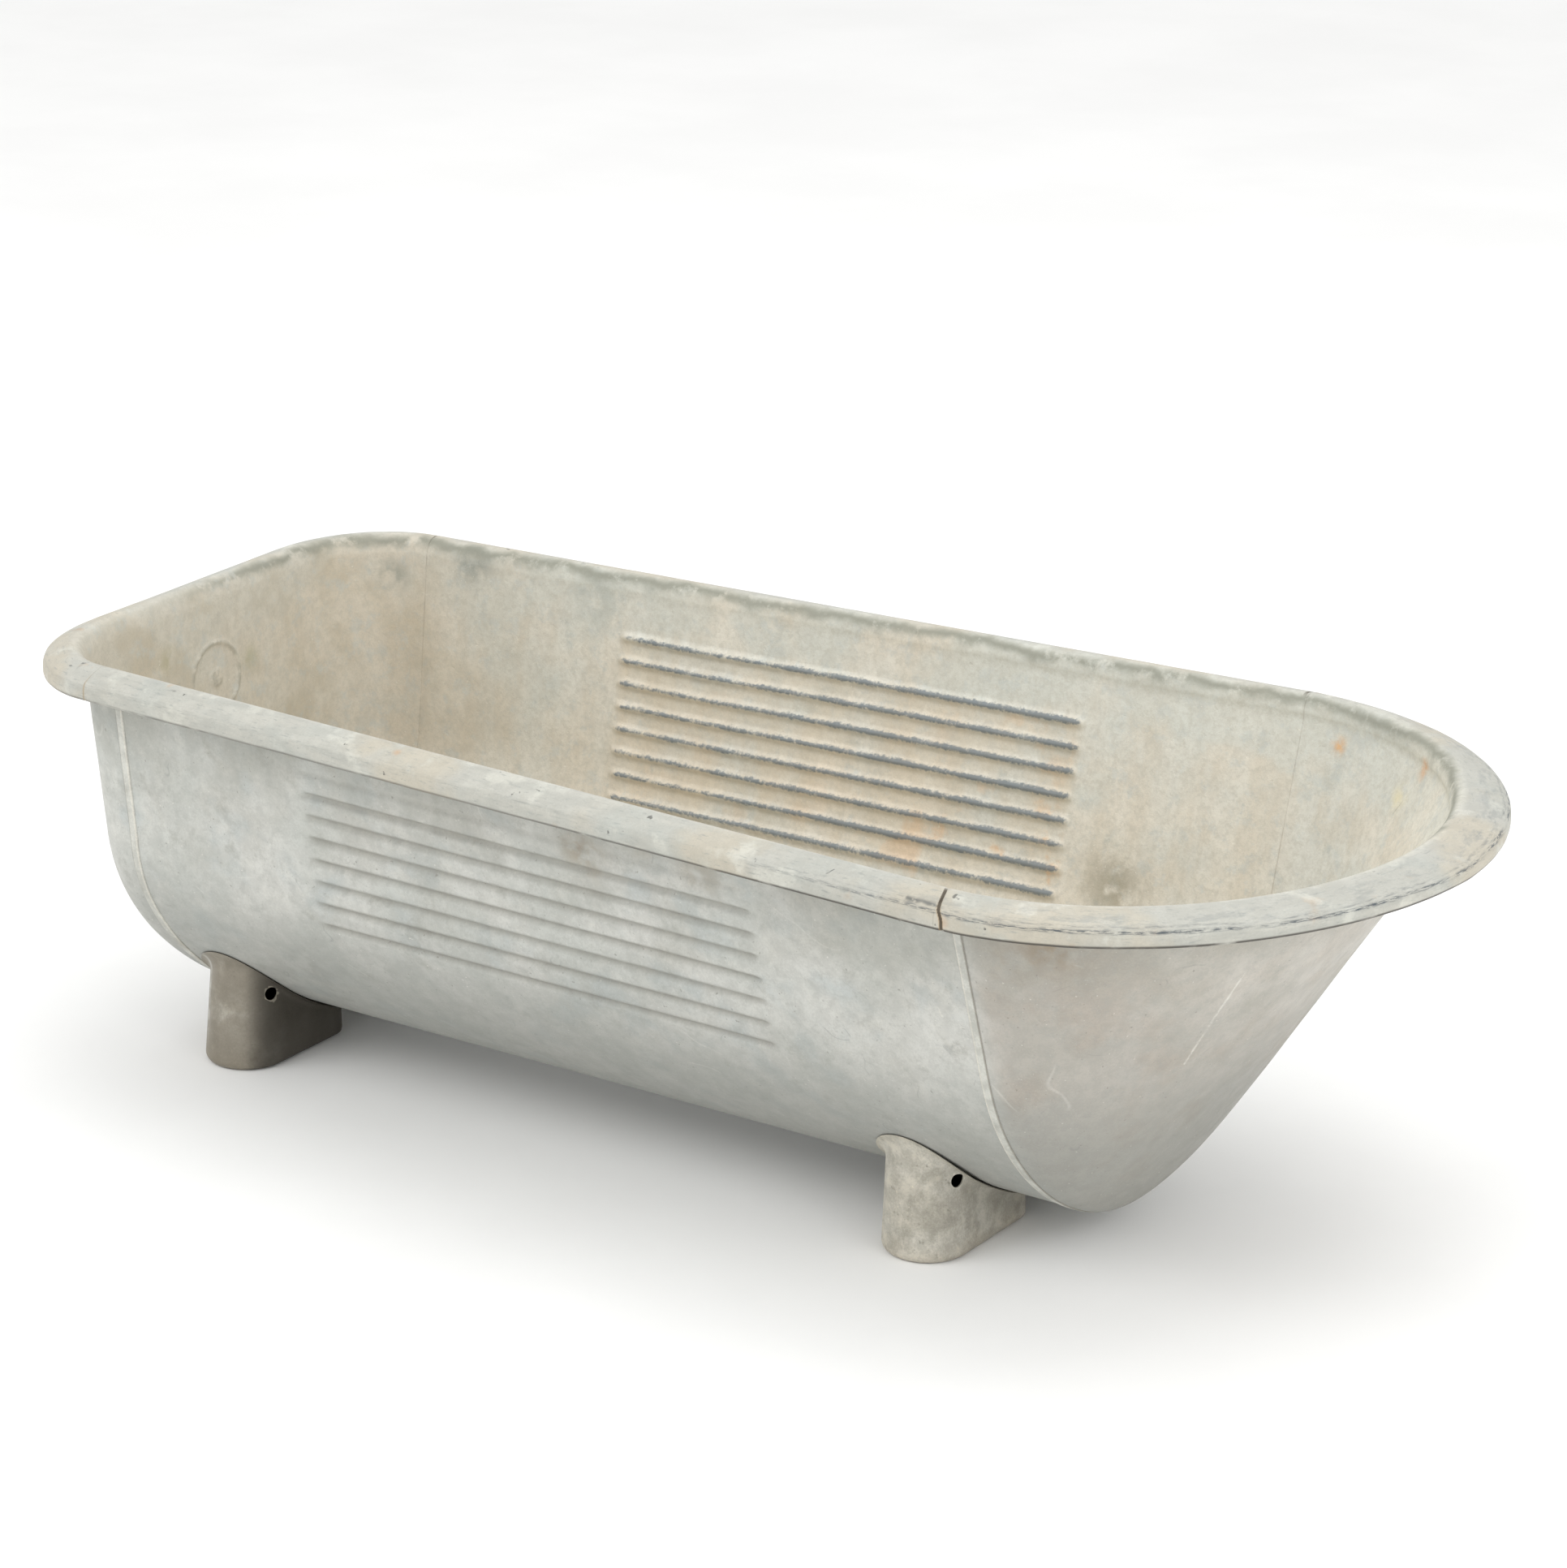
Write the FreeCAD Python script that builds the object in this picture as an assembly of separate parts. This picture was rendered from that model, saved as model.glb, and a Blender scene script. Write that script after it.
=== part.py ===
"""Galvanised bath used as a livestock water trough.

Frame: +X runs from the upright end to the sloping end, +Z is up, the near
side faces -Y.  The origin is on the floor, under the middle of the length.
All lengths are millimetres.
"""
import FreeCAD, Part
import math
import os

V = FreeCAD.Vector

# ---- driving dimensions --------------------------------------------------
SHEET = 1.6                  # galvanised sheet thickness
RIM_TOP = 475.0 - SHEET      # hidden skin of the sheet at the rim crest
KEEL = 29.0                  # height of the lowest line of the body
WALL_TOP = RIM_TOP - 26.0    # where the wall starts to flare into the rim
FLARE = 12.0                 # how far the rim crest stands outside the wall

UPRIGHT_SEAM_X = -662.0      # plane of the seam at the upright end
SLOPING_SEAM_X = 434.0       # plane of the seam at the sloping end

# One wall profile is lean * height plus a rounded bilge:
# (lean, bilge width, bilge height, roundness)
UPRIGHT_SIDE = (0.109, 226.0, 218.0, 1.65)
SLOPING_SIDE = (0.322, 201.0, 218.0, 1.90)
UPRIGHT_END = (0.050, 76.0, 140.0, 1.65)
SLOPING_END = (0.670, 18.0, 60.0, 1.90)

UPRIGHT_CORNER = 0.44        # corner depth as a share of the half width
SLOPING_PLAN_POWER = 1.95    # 2 is an ellipse in plan

# rolled rim: (width, height)
RIM_UPRIGHT_END = (27.1, 27.0)
RIM_UPRIGHT_SEAM = (32.0, 28.0)
RIM_SLOPING_SEAM = (29.5, 29.5)
RIM_SLOPING_TIP = (53.2, 20.0)
WIRE_RADIUS = 3.0            # iron wire rolled into the lip
LIP_CURL = 4.0               # inside radius of the curl round the wire

RIB_COUNT = 8
RIB_PITCH = 25.6
RIB_FIRST_Z = 405.0          # height of the top rib
RIB_START_X = -400.0
RIB_END_X = 180.0
RIB_RADIUS = 5.6             # outer radius of one pressed rib
RIB_FADE = 2.8               # a rib is this much thinner at its two ends
RIB_TAPER = 14.0             # length over which it fades

SEAM_WIDTH = 11.0            # width of the folded seam strip
SEAM_HEIGHT = 1.5            # how far the strip stands off the panel

# each pair of feet: (centre x, outer end at the floor, lean of the outer end in
# 100 mm of height, height of the vent hole, its turn from straight out towards +X)
FOOT_PAIRS = {"rear": (-597.5, 195.0, 12.0, 85.0, 65.0),
              "front": (290.0, 202.0, 5.0, 87.0, 68.0)}
FOOT_INNER_Y = 34.0          # inner end of a foot
FOOT_HALF_WIDTH = 47.0
FOOT_TAPER = 6.0             # each flat side leans in by this much at the top
FOOT_CORNER = 12.0           # radius of the two upright corners at the inner end
FOOT_SOLE_RADIUS = 9.0       # rounded bottom edge
FOOT_TOP_Z = 175.0           # blank height before it is trimmed to the body
FOOT_GAP = 0.8               # daylight between the flange and the body
FLANGE_WIDTH = 12.0
FOOT_HOLE_RADIUS = 7.5

ROUNDEL_RADIUS = 40.0
ROUNDEL_Y = 4.0
ROUNDEL_Z = 366.0
ROUNDEL_BEAD = 2.2

# ---- sampling of the formed surfaces -------------------------------------
WALL_STEPS = 5               # levels on the straight part of a wall
BILGE_STEPS = 9              # levels on the rounded part
BILGE_LAST_ANGLE = 9.0       # degrees short of the keel where the flat starts
CORNER_STEPS = 9
END_STEPS = 6
TIP_STEPS = 24
CURL_STEPS = 7
KEEL_LAP = 1.03              # the keel plate is this much larger than its hole


def lerp(a, b, t):
    return a + (b - a) * t


def lerp_pair(a, b, t):
    return tuple(lerp(p, q, t) for p, q in zip(a, b))


def wall_offset(profile, z):
    """Distance of a wall from the keel line at height z."""
    lean, bilge, height, power = profile
    share = min(1.0, max(0.0, (z - KEEL) / height))
    return lean * (z - KEEL) + bilge * (1 - (1 - share) ** power) ** (1 / power)


def wall_levels():
    """Heights of the sampled levels, from the wall top down to the keel flat."""
    bilge = SLOPING_SIDE[2]
    knee = KEEL + bilge
    levels = [lerp(WALL_TOP, knee, i / WALL_STEPS) for i in range(WALL_STEPS)]
    for i in range(BILGE_STEPS + 1):
        angle = math.radians(lerp(90.0, BILGE_LAST_ANGLE, i / BILGE_STEPS))
        levels.append(KEEL + bilge * (1 - math.cos(angle)))
    return levels


def rim_section(width, height):
    """Rolled rim from the curled lip to the wall: (outward, up) from the crest."""
    centre = (width - LIP_CURL, LIP_CURL - height)
    points = []
    for i in range(CURL_STEPS + 1):
        angle = math.radians(160.0 + 200.0 * i / CURL_STEPS)
        points.append((centre[0] + LIP_CURL * math.cos(angle),
                       centre[1] + LIP_CURL * math.sin(angle)))
    points += [(width - 0.1, -0.60 * height), (width - 1.0, -0.47 * height)]
    points += [(0.91 * width, -0.36 * height), (0.72 * width, -0.23 * height)]
    points += [(0.45 * width, -0.10 * height), (0.20 * width, -0.4), (0.04 * width, -0.2)]
    points += [(-4.6, -2.6), (-8.6, -8.0), (-11.0, -16.0)]
    return points


def plan_tangent(a, b):
    length = math.hypot(b[0] - a[0], b[1] - a[1])
    return ((b[0] - a[0]) / length, (b[1] - a[1]) / length)


def side_column(x, sign, mix):
    """Sheet points on one long side at station x: lip, rim, wall, keel."""
    half = [lerp(wall_offset(UPRIGHT_SIDE, z), wall_offset(SLOPING_SIDE, z), mix)
            for z in wall_levels()]
    crest = half[0] + FLARE
    width, height = lerp_pair(RIM_UPRIGHT_SEAM, RIM_SLOPING_SEAM, mix)
    column = [V(x, sign * (crest + out), RIM_TOP + up) for out, up in rim_section(width, height)]
    column += [V(x, sign * y, z) for y, z in zip(half, wall_levels())]
    return column


def upright_plan(reach, half):
    """Half plan of the upright end at one level, seam to middle, near side."""
    corner = UPRIGHT_CORNER * half
    points = []
    for i in range(CORNER_STEPS + 1):
        angle = math.radians(90.0 * i / CORNER_STEPS)
        points.append((UPRIGHT_SEAM_X - reach * math.sin(angle),
                       -(half - corner) - corner * math.cos(angle)))
    for i in range(1, END_STEPS + 1):
        points.append((UPRIGHT_SEAM_X - reach, -(half - corner) * (1 - i / END_STEPS)))
    return points


def sloping_plan(reach, half):
    """Half plan of the sloping end at one level, seam to middle, near side."""
    points = []
    for i in range(TIP_STEPS + 1):
        angle = math.radians(90.0 * i / TIP_STEPS)
        points.append((SLOPING_SEAM_X + reach * math.sin(angle) ** (2 / SLOPING_PLAN_POWER),
                       -half * max(0.0, math.cos(angle)) ** (2 / SLOPING_PLAN_POWER)))
    return points


def whole_plan(half_plan):
    return half_plan + [(x, -y) for x, y in reversed(half_plan[:-1])]


def outward_normals(plan, outside):
    """Unit plan normals that point away from the tub; square at both seams."""
    last = len(plan) - 1
    normals = []
    for i in range(last + 1):
        tx, ty = plan_tangent(plan[max(i - 1, 0)], plan[min(i + 1, last)])
        normals.append((ty * outside, -tx * outside))
    normals[0] = (0.0, -1.0)
    normals[last] = (0.0, 1.0)
    return normals


def end_grid(plan_at, side, end, rims, outside):
    """Columns of sheet points round one end, each from the lip to the keel."""
    levels = wall_levels()
    plans = [whole_plan(plan_at(wall_offset(end, z), wall_offset(side, z))) for z in levels]
    top = plans[0]
    normals = outward_normals(top, outside)
    middle = (len(top) - 1) / 2
    columns = []
    for i, (x, y) in enumerate(top):
        nx, ny = normals[i]
        width, height = lerp_pair(rims[1], rims[0], abs(i - middle) / middle)
        rim = [V(x + nx * (FLARE + out), y + ny * (FLARE + out), RIM_TOP + up)
               for out, up in rim_section(width, height)]
        wall = [V(plan[i][0], plan[i][1], z) for plan, z in zip(plans, levels)]
        columns.append(rim + wall)
    return columns


def offset_grid(columns, distance, seam_x):
    """The same grid moved along its normals; seams and keel stay flat."""
    count, rows = len(columns), len(columns[0])
    moved = []
    for i in range(count):
        line = []
        for j in range(rows):
            along = columns[min(i + 1, count - 1)][j] - columns[max(i - 1, 0)][j]
            down = columns[i][min(j + 1, rows - 1)] - columns[i][max(j - 1, 0)]
            normal = along.cross(down)
            normal.normalize()
            point = columns[i][j] + normal * distance
            if i in (0, count - 1):
                point.x = seam_x
            if j == rows - 1:
                point.z = columns[i][j].z + abs(distance)
            line.append(point)
        moved.append(line)
    return moved


def spline(points):
    curve = Part.BSplineCurve()
    curve.interpolate(points)
    return curve.toShape()


def line(a, b):
    return Part.LineSegment(a, b).toShape()


def grid_solid(outer, inner):
    """Solid sheet between two grids, closed at the keel by a small flat plate."""
    wires = []
    for skin, lining in zip(outer, inner):
        wires.append(Part.Wire([spline(skin), line(skin[-1], lining[-1]),
                                spline(lining[::-1]), line(lining[0], skin[0])]))
    panel = Part.makeLoft(wires, True, False)
    seam_x = outer[0][-1].x
    ring = [V(seam_x + (c[-1].x - seam_x) * KEEL_LAP, c[-1].y * KEEL_LAP, c[-1].z) for c in outer]
    plate = Part.Face(Part.Wire([spline(ring), line(ring[-1], ring[0])]))
    return panel.fuse(plate.extrude(V(0, 0, SHEET)))


def side_section(x, outset=0.0):
    """Exterior skin of the body at station x, as a near and a far column."""
    mix = (x - UPRIGHT_SEAM_X) / (SLOPING_SEAM_X - UPRIGHT_SEAM_X)
    columns = [side_column(x, sign, mix) for sign in (-1, 1)]
    if outset:
        columns = [offset_column(column, outset) for column in columns]
    return columns


def offset_column(column, distance):
    """A side column moved across the sheet; positive is away from the tub."""
    sign = 1 if column[-1].y > 0 else -1
    last = len(column) - 1
    moved = []
    for j, point in enumerate(column):
        along = column[min(j + 1, last)] - column[max(j - 1, 0)]
        normal = V(0, -along.z, along.y) * sign
        if j == last:
            normal = V(0, 0, -1)
        normal.normalize()
        moved.append(point + normal * distance)
    return moved


def section_wire(outer, inner):
    """Closed outline between two skins, each a near and a far column."""
    edges = [spline(outer[0]), line(outer[0][-1], outer[1][-1]), spline(outer[1][::-1]),
             line(outer[1][0], inner[1][0]),
             spline(inner[1]), line(inner[1][-1], inner[0][-1]), spline(inner[0][::-1]),
             line(inner[0][0], outer[0][0])]
    return Part.Wire(edges)


def wall_only(columns):
    rim_rows = len(columns[0]) - len(wall_levels())
    return [column[rim_rows:] for column in columns]


def body_block(x_from, x_to, outset):
    """Everything inside the body's walls, grown outwards by outset."""
    wires = []
    for x in (x_from, x_to):
        near, far = wall_only(side_section(x, outset))
        wires.append(Part.Wire([spline(near), line(near[-1], far[-1]), spline(far[::-1]),
                                line(far[0], near[0])]))
    return Part.makeLoft(wires, True, True)


def rib_bar(side, z, radius):
    """Round bar with tapered ends that lies along one wall at height z."""
    ends = []
    for x in (RIB_START_X, RIB_END_X):
        mix = (x - UPRIGHT_SEAM_X) / (SLOPING_SEAM_X - UPRIGHT_SEAM_X)
        half = lerp(wall_offset(UPRIGHT_SIDE, z), wall_offset(SLOPING_SIDE, z), mix)
        ends.append(V(x, side * (half - SHEET / 2), z))
    run = ends[1] - ends[0]
    along = run / run.Length
    out = along.cross(V(0, 0, side))
    taper = along * RIB_TAPER
    thin = out * (radius - RIB_FADE)
    full = out * radius
    outline = [ends[0] - taper, ends[0] - taper + thin, ends[0] + full,
               ends[1] + full, ends[1] + taper + thin, ends[1] + taper]
    return Part.Face(Part.makePolygon(outline + outline[:1])).revolve(ends[0], along, 360)


def body_sheet():
    """Both long sides and the bottom in one sheet, with pressed washboard ribs."""
    wires = [section_wire(side_section(x), side_section(x, -SHEET))
             for x in (UPRIGHT_SEAM_X, SLOPING_SEAM_X)]
    sheet = Part.makeLoft(wires, True, True)
    inside = body_block(UPRIGHT_SEAM_X, SLOPING_SEAM_X, -SHEET / 2)
    heights = [RIB_FIRST_Z - i * RIB_PITCH for i in range(RIB_COUNT)]
    places = [(side, z) for side in (-1, 1) for z in heights]
    ridges = [rib_bar(side, z, RIB_RADIUS).common(inside) for side, z in places]
    grooves = [rib_bar(side, z, RIB_RADIUS - SHEET) for side, z in places]
    return sheet.fuse(ridges).cut(grooves)


def upright_end_panel():
    """Upright end with rounded corners, its rolled rim and a pressed roundel."""
    rims = (RIM_UPRIGHT_SEAM, RIM_UPRIGHT_END)
    outer = end_grid(upright_plan, UPRIGHT_SIDE, UPRIGHT_END, rims, -1)
    inner = offset_grid(outer, -SHEET, UPRIGHT_SEAM_X)
    panel = grid_solid(outer, inner)
    face_x = UPRIGHT_SEAM_X - wall_offset(UPRIGHT_END, ROUNDEL_Z) + SHEET
    centre = V(face_x, ROUNDEL_Y, ROUNDEL_Z)
    ring = Part.makeTorus(ROUNDEL_RADIUS, ROUNDEL_BEAD, centre, V(1, 0, 0))
    boss = Part.makeCylinder(ROUNDEL_RADIUS / 3, SHEET, centre - V(SHEET / 2, 0, 0), V(1, 0, 0))
    return panel.fuse([ring, boss])


def sloping_end_panel():
    """Long sloping end, half round in plan, with its rolled rim."""
    rims = (RIM_SLOPING_SEAM, RIM_SLOPING_TIP)
    outer = end_grid(sloping_plan, SLOPING_SIDE, SLOPING_END, rims, 1)
    return grid_solid(outer, offset_grid(outer, SHEET, SLOPING_SEAM_X))


def seam_strip(seam_x, body_x):
    """Folded seam that stands off the body along one seam plane."""
    wires = [section_wire(wall_only(side_section(x, SEAM_HEIGHT)), wall_only(side_section(x)))
             for x in (seam_x, body_x)]
    return Part.makeLoft(wires, True, True)


def curl_centre(x, y, normal, rim):
    width, height = rim
    out = FLARE + width - LIP_CURL
    return V(x + normal[0] * out, y + normal[1] * out, RIM_TOP - height + LIP_CURL)


def side_wire(side):
    """Straight iron wire inside the lip of one long side."""
    ends = []
    for x, profile, rim in ((UPRIGHT_SEAM_X, UPRIGHT_SIDE, RIM_UPRIGHT_SEAM),
                            (SLOPING_SEAM_X, SLOPING_SIDE, RIM_SLOPING_SEAM)):
        ends.append(curl_centre(x, side * wall_offset(profile, WALL_TOP), (0, side), rim))
    return Part.makeCylinder(WIRE_RADIUS, (ends[1] - ends[0]).Length, ends[0], ends[1] - ends[0])


def end_wire(plan_at, side, end, rims, outside):
    """Bent iron wire inside the lip of one end."""
    plan = whole_plan(plan_at(wall_offset(end, WALL_TOP), wall_offset(side, WALL_TOP)))
    normals = outward_normals(plan, outside)
    middle = (len(plan) - 1) / 2
    centres = []
    for i, (x, y) in enumerate(plan):
        rim = lerp_pair(rims[1], rims[0], abs(i - middle) / middle)
        centres.append(curl_centre(x, y, normals[i], rim))
    circles = []
    last = len(centres) - 1
    for i, centre in enumerate(centres):
        along = centres[min(i + 1, last)] - centres[max(i - 1, 0)]
        if i in (0, last):
            along = V(-outside if i else outside, 0, 0)
        circles.append(Part.Wire(Part.makeCircle(WIRE_RADIUS, centre, along)))
    return Part.makeLoft(circles, True)


def arc(a, middle, b):
    return Part.Arc(a, middle, b).toShape()


def foot_plan(centre_x, side, half_width, outer_y, inner_y, corner, z):
    """Outline of a foot at height z: round outer end, square inner end with round corners."""
    bulge = corner * (1 - math.sqrt(0.5))
    turn = outer_y - half_width
    heel = inner_y + corner

    def at(x, y):
        return V(centre_x + x, side * y, z)

    left, right = -half_width, half_width
    edges = [line(at(left, heel), at(left, turn)),
             arc(at(left, turn), at(0, outer_y), at(right, turn)),
             line(at(right, turn), at(right, heel)),
             arc(at(right, heel), at(right - bulge, inner_y + bulge), at(right - corner, inner_y)),
             line(at(right - corner, inner_y), at(left + corner, inner_y)),
             arc(at(left + corner, inner_y), at(left + bulge, inner_y + bulge), at(left, heel))]
    return Part.Wire(edges)


def foot_block(centre_x, side, outer_y, lean, shrink):
    """Solid outline of a foot, shrunk all round, with a rounded bottom edge."""
    top_outer = outer_y - lean * FOOT_TOP_Z / 100.0
    wires = [foot_plan(centre_x, side, FOOT_HALF_WIDTH - shrink, outer_y - shrink,
                       FOOT_INNER_Y + shrink, FOOT_CORNER - shrink, shrink),
             foot_plan(centre_x, side, FOOT_HALF_WIDTH - FOOT_TAPER - shrink, top_outer - shrink,
                       FOOT_INNER_Y + shrink, FOOT_CORNER - shrink, FOOT_TOP_Z)]
    block = Part.makeLoft(wires, True, True)
    bottom = [e for e in block.Edges if e.BoundBox.ZMax < shrink + 0.1]
    return block.makeFillet(FOOT_SOLE_RADIUS - shrink, bottom)


def foot(side, centre_x, outer_y, lean, hole_z, hole_turn):
    """Pressed hollow foot, trimmed to the body, with a flange and a vent hole."""
    outer = foot_block(centre_x, side, outer_y, lean, 0.0)
    inner = foot_block(centre_x, side, outer_y, lean, SHEET)
    reach = FOOT_HALF_WIDTH + 2 * FLANGE_WIDTH
    clear = body_block(centre_x - reach, centre_x + reach, FOOT_GAP)
    skin = body_block(centre_x - reach, centre_x + reach, FOOT_GAP + SHEET).cut(clear)
    skirt = foot_plan(centre_x, side, FOOT_HALF_WIDTH - FOOT_TAPER + FLANGE_WIDTH,
                      outer_y - lean + FLANGE_WIDTH, FOOT_INNER_Y, FOOT_CORNER, 0.0)
    flange = Part.Face(skirt).extrude(V(0, 0, FOOT_TOP_Z)).common(skin)
    shell = outer.cut(clear).fuse(flange).cut(inner)
    turn = math.radians(hole_turn)
    axis = V(math.sin(turn), -math.cos(turn) * -side, 0)
    start = V(centre_x, side * (outer_y - lean - FOOT_HALF_WIDTH), hole_z)
    return shell.cut(Part.makeCylinder(FOOT_HOLE_RADIUS, 1.5 * FOOT_HALF_WIDTH, start, axis))


def parts():
    """Every separate piece, by node name."""
    made = {
        "body_sheet": body_sheet(),
        "upright_end_panel": upright_end_panel(),
        "sloping_end_panel": sloping_end_panel(),
        "upright_end_seam": seam_strip(UPRIGHT_SEAM_X, UPRIGHT_SEAM_X + SEAM_WIDTH),
        "sloping_end_seam": seam_strip(SLOPING_SEAM_X - SEAM_WIDTH, SLOPING_SEAM_X),
        "rim_wire_near": side_wire(-1),
        "rim_wire_far": side_wire(1),
        "rim_wire_upright_end": end_wire(upright_plan, UPRIGHT_SIDE, UPRIGHT_END,
                                         (RIM_UPRIGHT_SEAM, RIM_UPRIGHT_END), -1),
        "rim_wire_sloping_end": end_wire(sloping_plan, SLOPING_SIDE, SLOPING_END,
                                         (RIM_SLOPING_SEAM, RIM_SLOPING_TIP), 1),
    }
    for row, sizes in FOOT_PAIRS.items():
        for place, side in (("near", -1), ("far", 1)):
            made["foot_" + place + "_" + row] = foot(side, *sizes)
    return made


os.makedirs("parts", exist_ok=True)
for name, shape in parts().items():
    solids = shape.Solids
    print(name, len(solids), shape.isValid(), round(shape.Volume))
    shape.exportStep("parts/" + name + ".step")
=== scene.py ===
"""Weathered galvanised bath used as a water trough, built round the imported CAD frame."""

import math

import bmesh
import bpy
import numpy as np
from mathutils import Matrix, Vector, noise


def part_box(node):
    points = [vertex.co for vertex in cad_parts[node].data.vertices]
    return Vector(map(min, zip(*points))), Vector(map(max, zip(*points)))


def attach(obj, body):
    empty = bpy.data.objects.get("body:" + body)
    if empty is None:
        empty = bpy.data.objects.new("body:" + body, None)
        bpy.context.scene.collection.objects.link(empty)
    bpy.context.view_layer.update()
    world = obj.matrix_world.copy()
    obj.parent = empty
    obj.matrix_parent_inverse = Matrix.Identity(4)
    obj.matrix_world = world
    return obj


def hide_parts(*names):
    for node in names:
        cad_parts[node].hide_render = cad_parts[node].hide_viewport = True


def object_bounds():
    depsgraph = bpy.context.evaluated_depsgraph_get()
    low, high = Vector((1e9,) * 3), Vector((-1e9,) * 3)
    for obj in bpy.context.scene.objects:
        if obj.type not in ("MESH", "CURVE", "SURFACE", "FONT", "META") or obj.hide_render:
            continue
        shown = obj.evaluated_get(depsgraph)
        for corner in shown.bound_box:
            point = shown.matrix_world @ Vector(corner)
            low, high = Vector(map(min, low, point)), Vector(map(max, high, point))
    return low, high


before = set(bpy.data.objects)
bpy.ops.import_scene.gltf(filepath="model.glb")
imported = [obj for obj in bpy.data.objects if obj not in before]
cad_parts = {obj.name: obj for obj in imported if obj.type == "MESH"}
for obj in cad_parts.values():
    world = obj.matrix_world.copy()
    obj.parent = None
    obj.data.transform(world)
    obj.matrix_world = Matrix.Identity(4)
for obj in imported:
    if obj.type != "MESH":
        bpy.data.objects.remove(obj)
CAD_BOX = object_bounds()

# ---- sizes in millimetres -------------------------------------------------
MM = 0.001
BODY_LOW, BODY_HIGH = (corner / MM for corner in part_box("body_sheet"))
SHEET = 1.6
RIM_TOP = BODY_HIGH.z - SHEET        # hidden skin at the rim crest
KEEL = BODY_LOW.z - 2.7              # the keel line just below the flat of the bottom
WALL_TOP = RIM_TOP - 26.0
FLARE = 12.0
REAR_SEAM = BODY_LOW.x
FRONT_SEAM = BODY_HIGH.x

# wall profiles: lean, bilge width, bilge height, roundness
UPRIGHT_SIDE = (0.109, 226.0, 218.0, 1.65)
SLOPING_SIDE = (0.322, 201.0, 218.0, 1.90)
UPRIGHT_END = (0.050, 76.0, 140.0, 1.65)
SLOPING_END = (0.670, 18.0, 60.0, 1.90)
UPRIGHT_CORNER = 0.44
SLOPING_PLAN_POWER = 1.95

# rolled rim: width, height
RIM_UPRIGHT_END = (27.1, 27.0)
RIM_UPRIGHT_SEAM = (32.0, 28.0)
RIM_SLOPING_SEAM = (29.5, 29.5)
RIM_SLOPING_TIP = (53.2, 20.0)
LIP_CURL = 4.0

RIB_COUNT = 8
RIB_PITCH = 25.6
RIB_FIRST_Z = 405.0
RIB_ENDS = (-406.0, 186.0)
RIB_SHIFT = 5.0                      # far ribs sit this far towards the sloping end, near ribs away
FAINT_GROOVE = 0.3                   # the top groove of the near side is worn almost flat
RIB_HEIGHT = 4.7
RIB_FADE = 16.0
KNEE_ROWS = 16                       # rows in the bilge's first step, under the straight wall
END_KNEE_ROWS = 6
BODY_STATIONS = 76                   # even stations along the body, before the fine ones
WELD = 0.00002                       # metres: points nearer than this become one
RIB_KEEL_CLEAR = 150.0               # ribs are only on a wall this far from the keel line
RIDGE_HALF = 7.4                     # half width of a ridge on the inside
GROOVE_HALF = 5.6                    # half width of a groove on the outside

SEAM_HEIGHT = 1.5

ROUNDEL = (4.0, 366.0)               # y and z of the pressed roundel
ROUNDEL_RADIUS = 40.0

# the lap of the rim at a front seam runs askew: start at the crest, further run to the lip
JOINT_START = -4.5
JOINT_RUN = 13.0
REAR_JOINT_STRENGTH = {-1: 0.3, 1: 0.8}

# rows between two neighbouring control points of a section
CURL_ROWS, RIM_ROWS = 1, 3
SIDE_WALL_ROWS, SIDE_BILGE_ROWS = 18, 5
END_WALL_ROWS, END_BILGE_ROWS = 8, 4
ROUNDEL_WALL_ROWS = 22
CURL_STEPS = 8
WALL_STEPS = 5
BILGE_STEPS = 9
BILGE_LAST_ANGLE = 9.0
RIM_POINTS = 10


# ---- curves and fields ----------------------------------------------------
def lerp(a, b, t):
    return a + (b - a) * t


def smooth(low, high, value):
    t = np.clip((value - low) / (high - low), 0.0, 1.0)
    return t * t * (3 - 2 * t)


def resample(points, places):
    """Cubic curve through points (along axis 0), read at fractional indices."""
    slopes = np.empty_like(points)
    slopes[1:-1] = (points[2:] - points[:-2]) / 2
    slopes[0] = points[1] - points[0]
    slopes[-1] = points[-1] - points[-2]
    low = np.minimum(places.astype(int), len(points) - 2)
    t = (places - low).reshape((-1,) + (1,) * (points.ndim - 1))
    a, b = points[low], points[low + 1]
    da, db = slopes[low], slopes[low + 1]
    return (a * (1 + 2 * t) * (1 - t) ** 2 + da * t * (1 - t) ** 2
            + b * t ** 2 * (3 - 2 * t) + db * t ** 2 * (t - 1))


def wall_offset(profile, z):
    """Distance of a wall from the keel line at height z."""
    lean, bilge, height, power = profile
    share = np.clip((z - KEEL) / height, 0.0, 1.0)
    return lean * (z - KEEL) + bilge * (1 - (1 - share) ** power) ** (1 / power)


def wall_levels():
    bilge = SLOPING_SIDE[2]
    straight = [lerp(WALL_TOP, KEEL + bilge, i / WALL_STEPS) for i in range(WALL_STEPS)]
    angles = np.radians(np.linspace(90.0, BILGE_LAST_ANGLE, BILGE_STEPS + 1))
    return np.concatenate([straight, KEEL + bilge * (1 - np.cos(angles))])


LEVELS = wall_levels()


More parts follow.
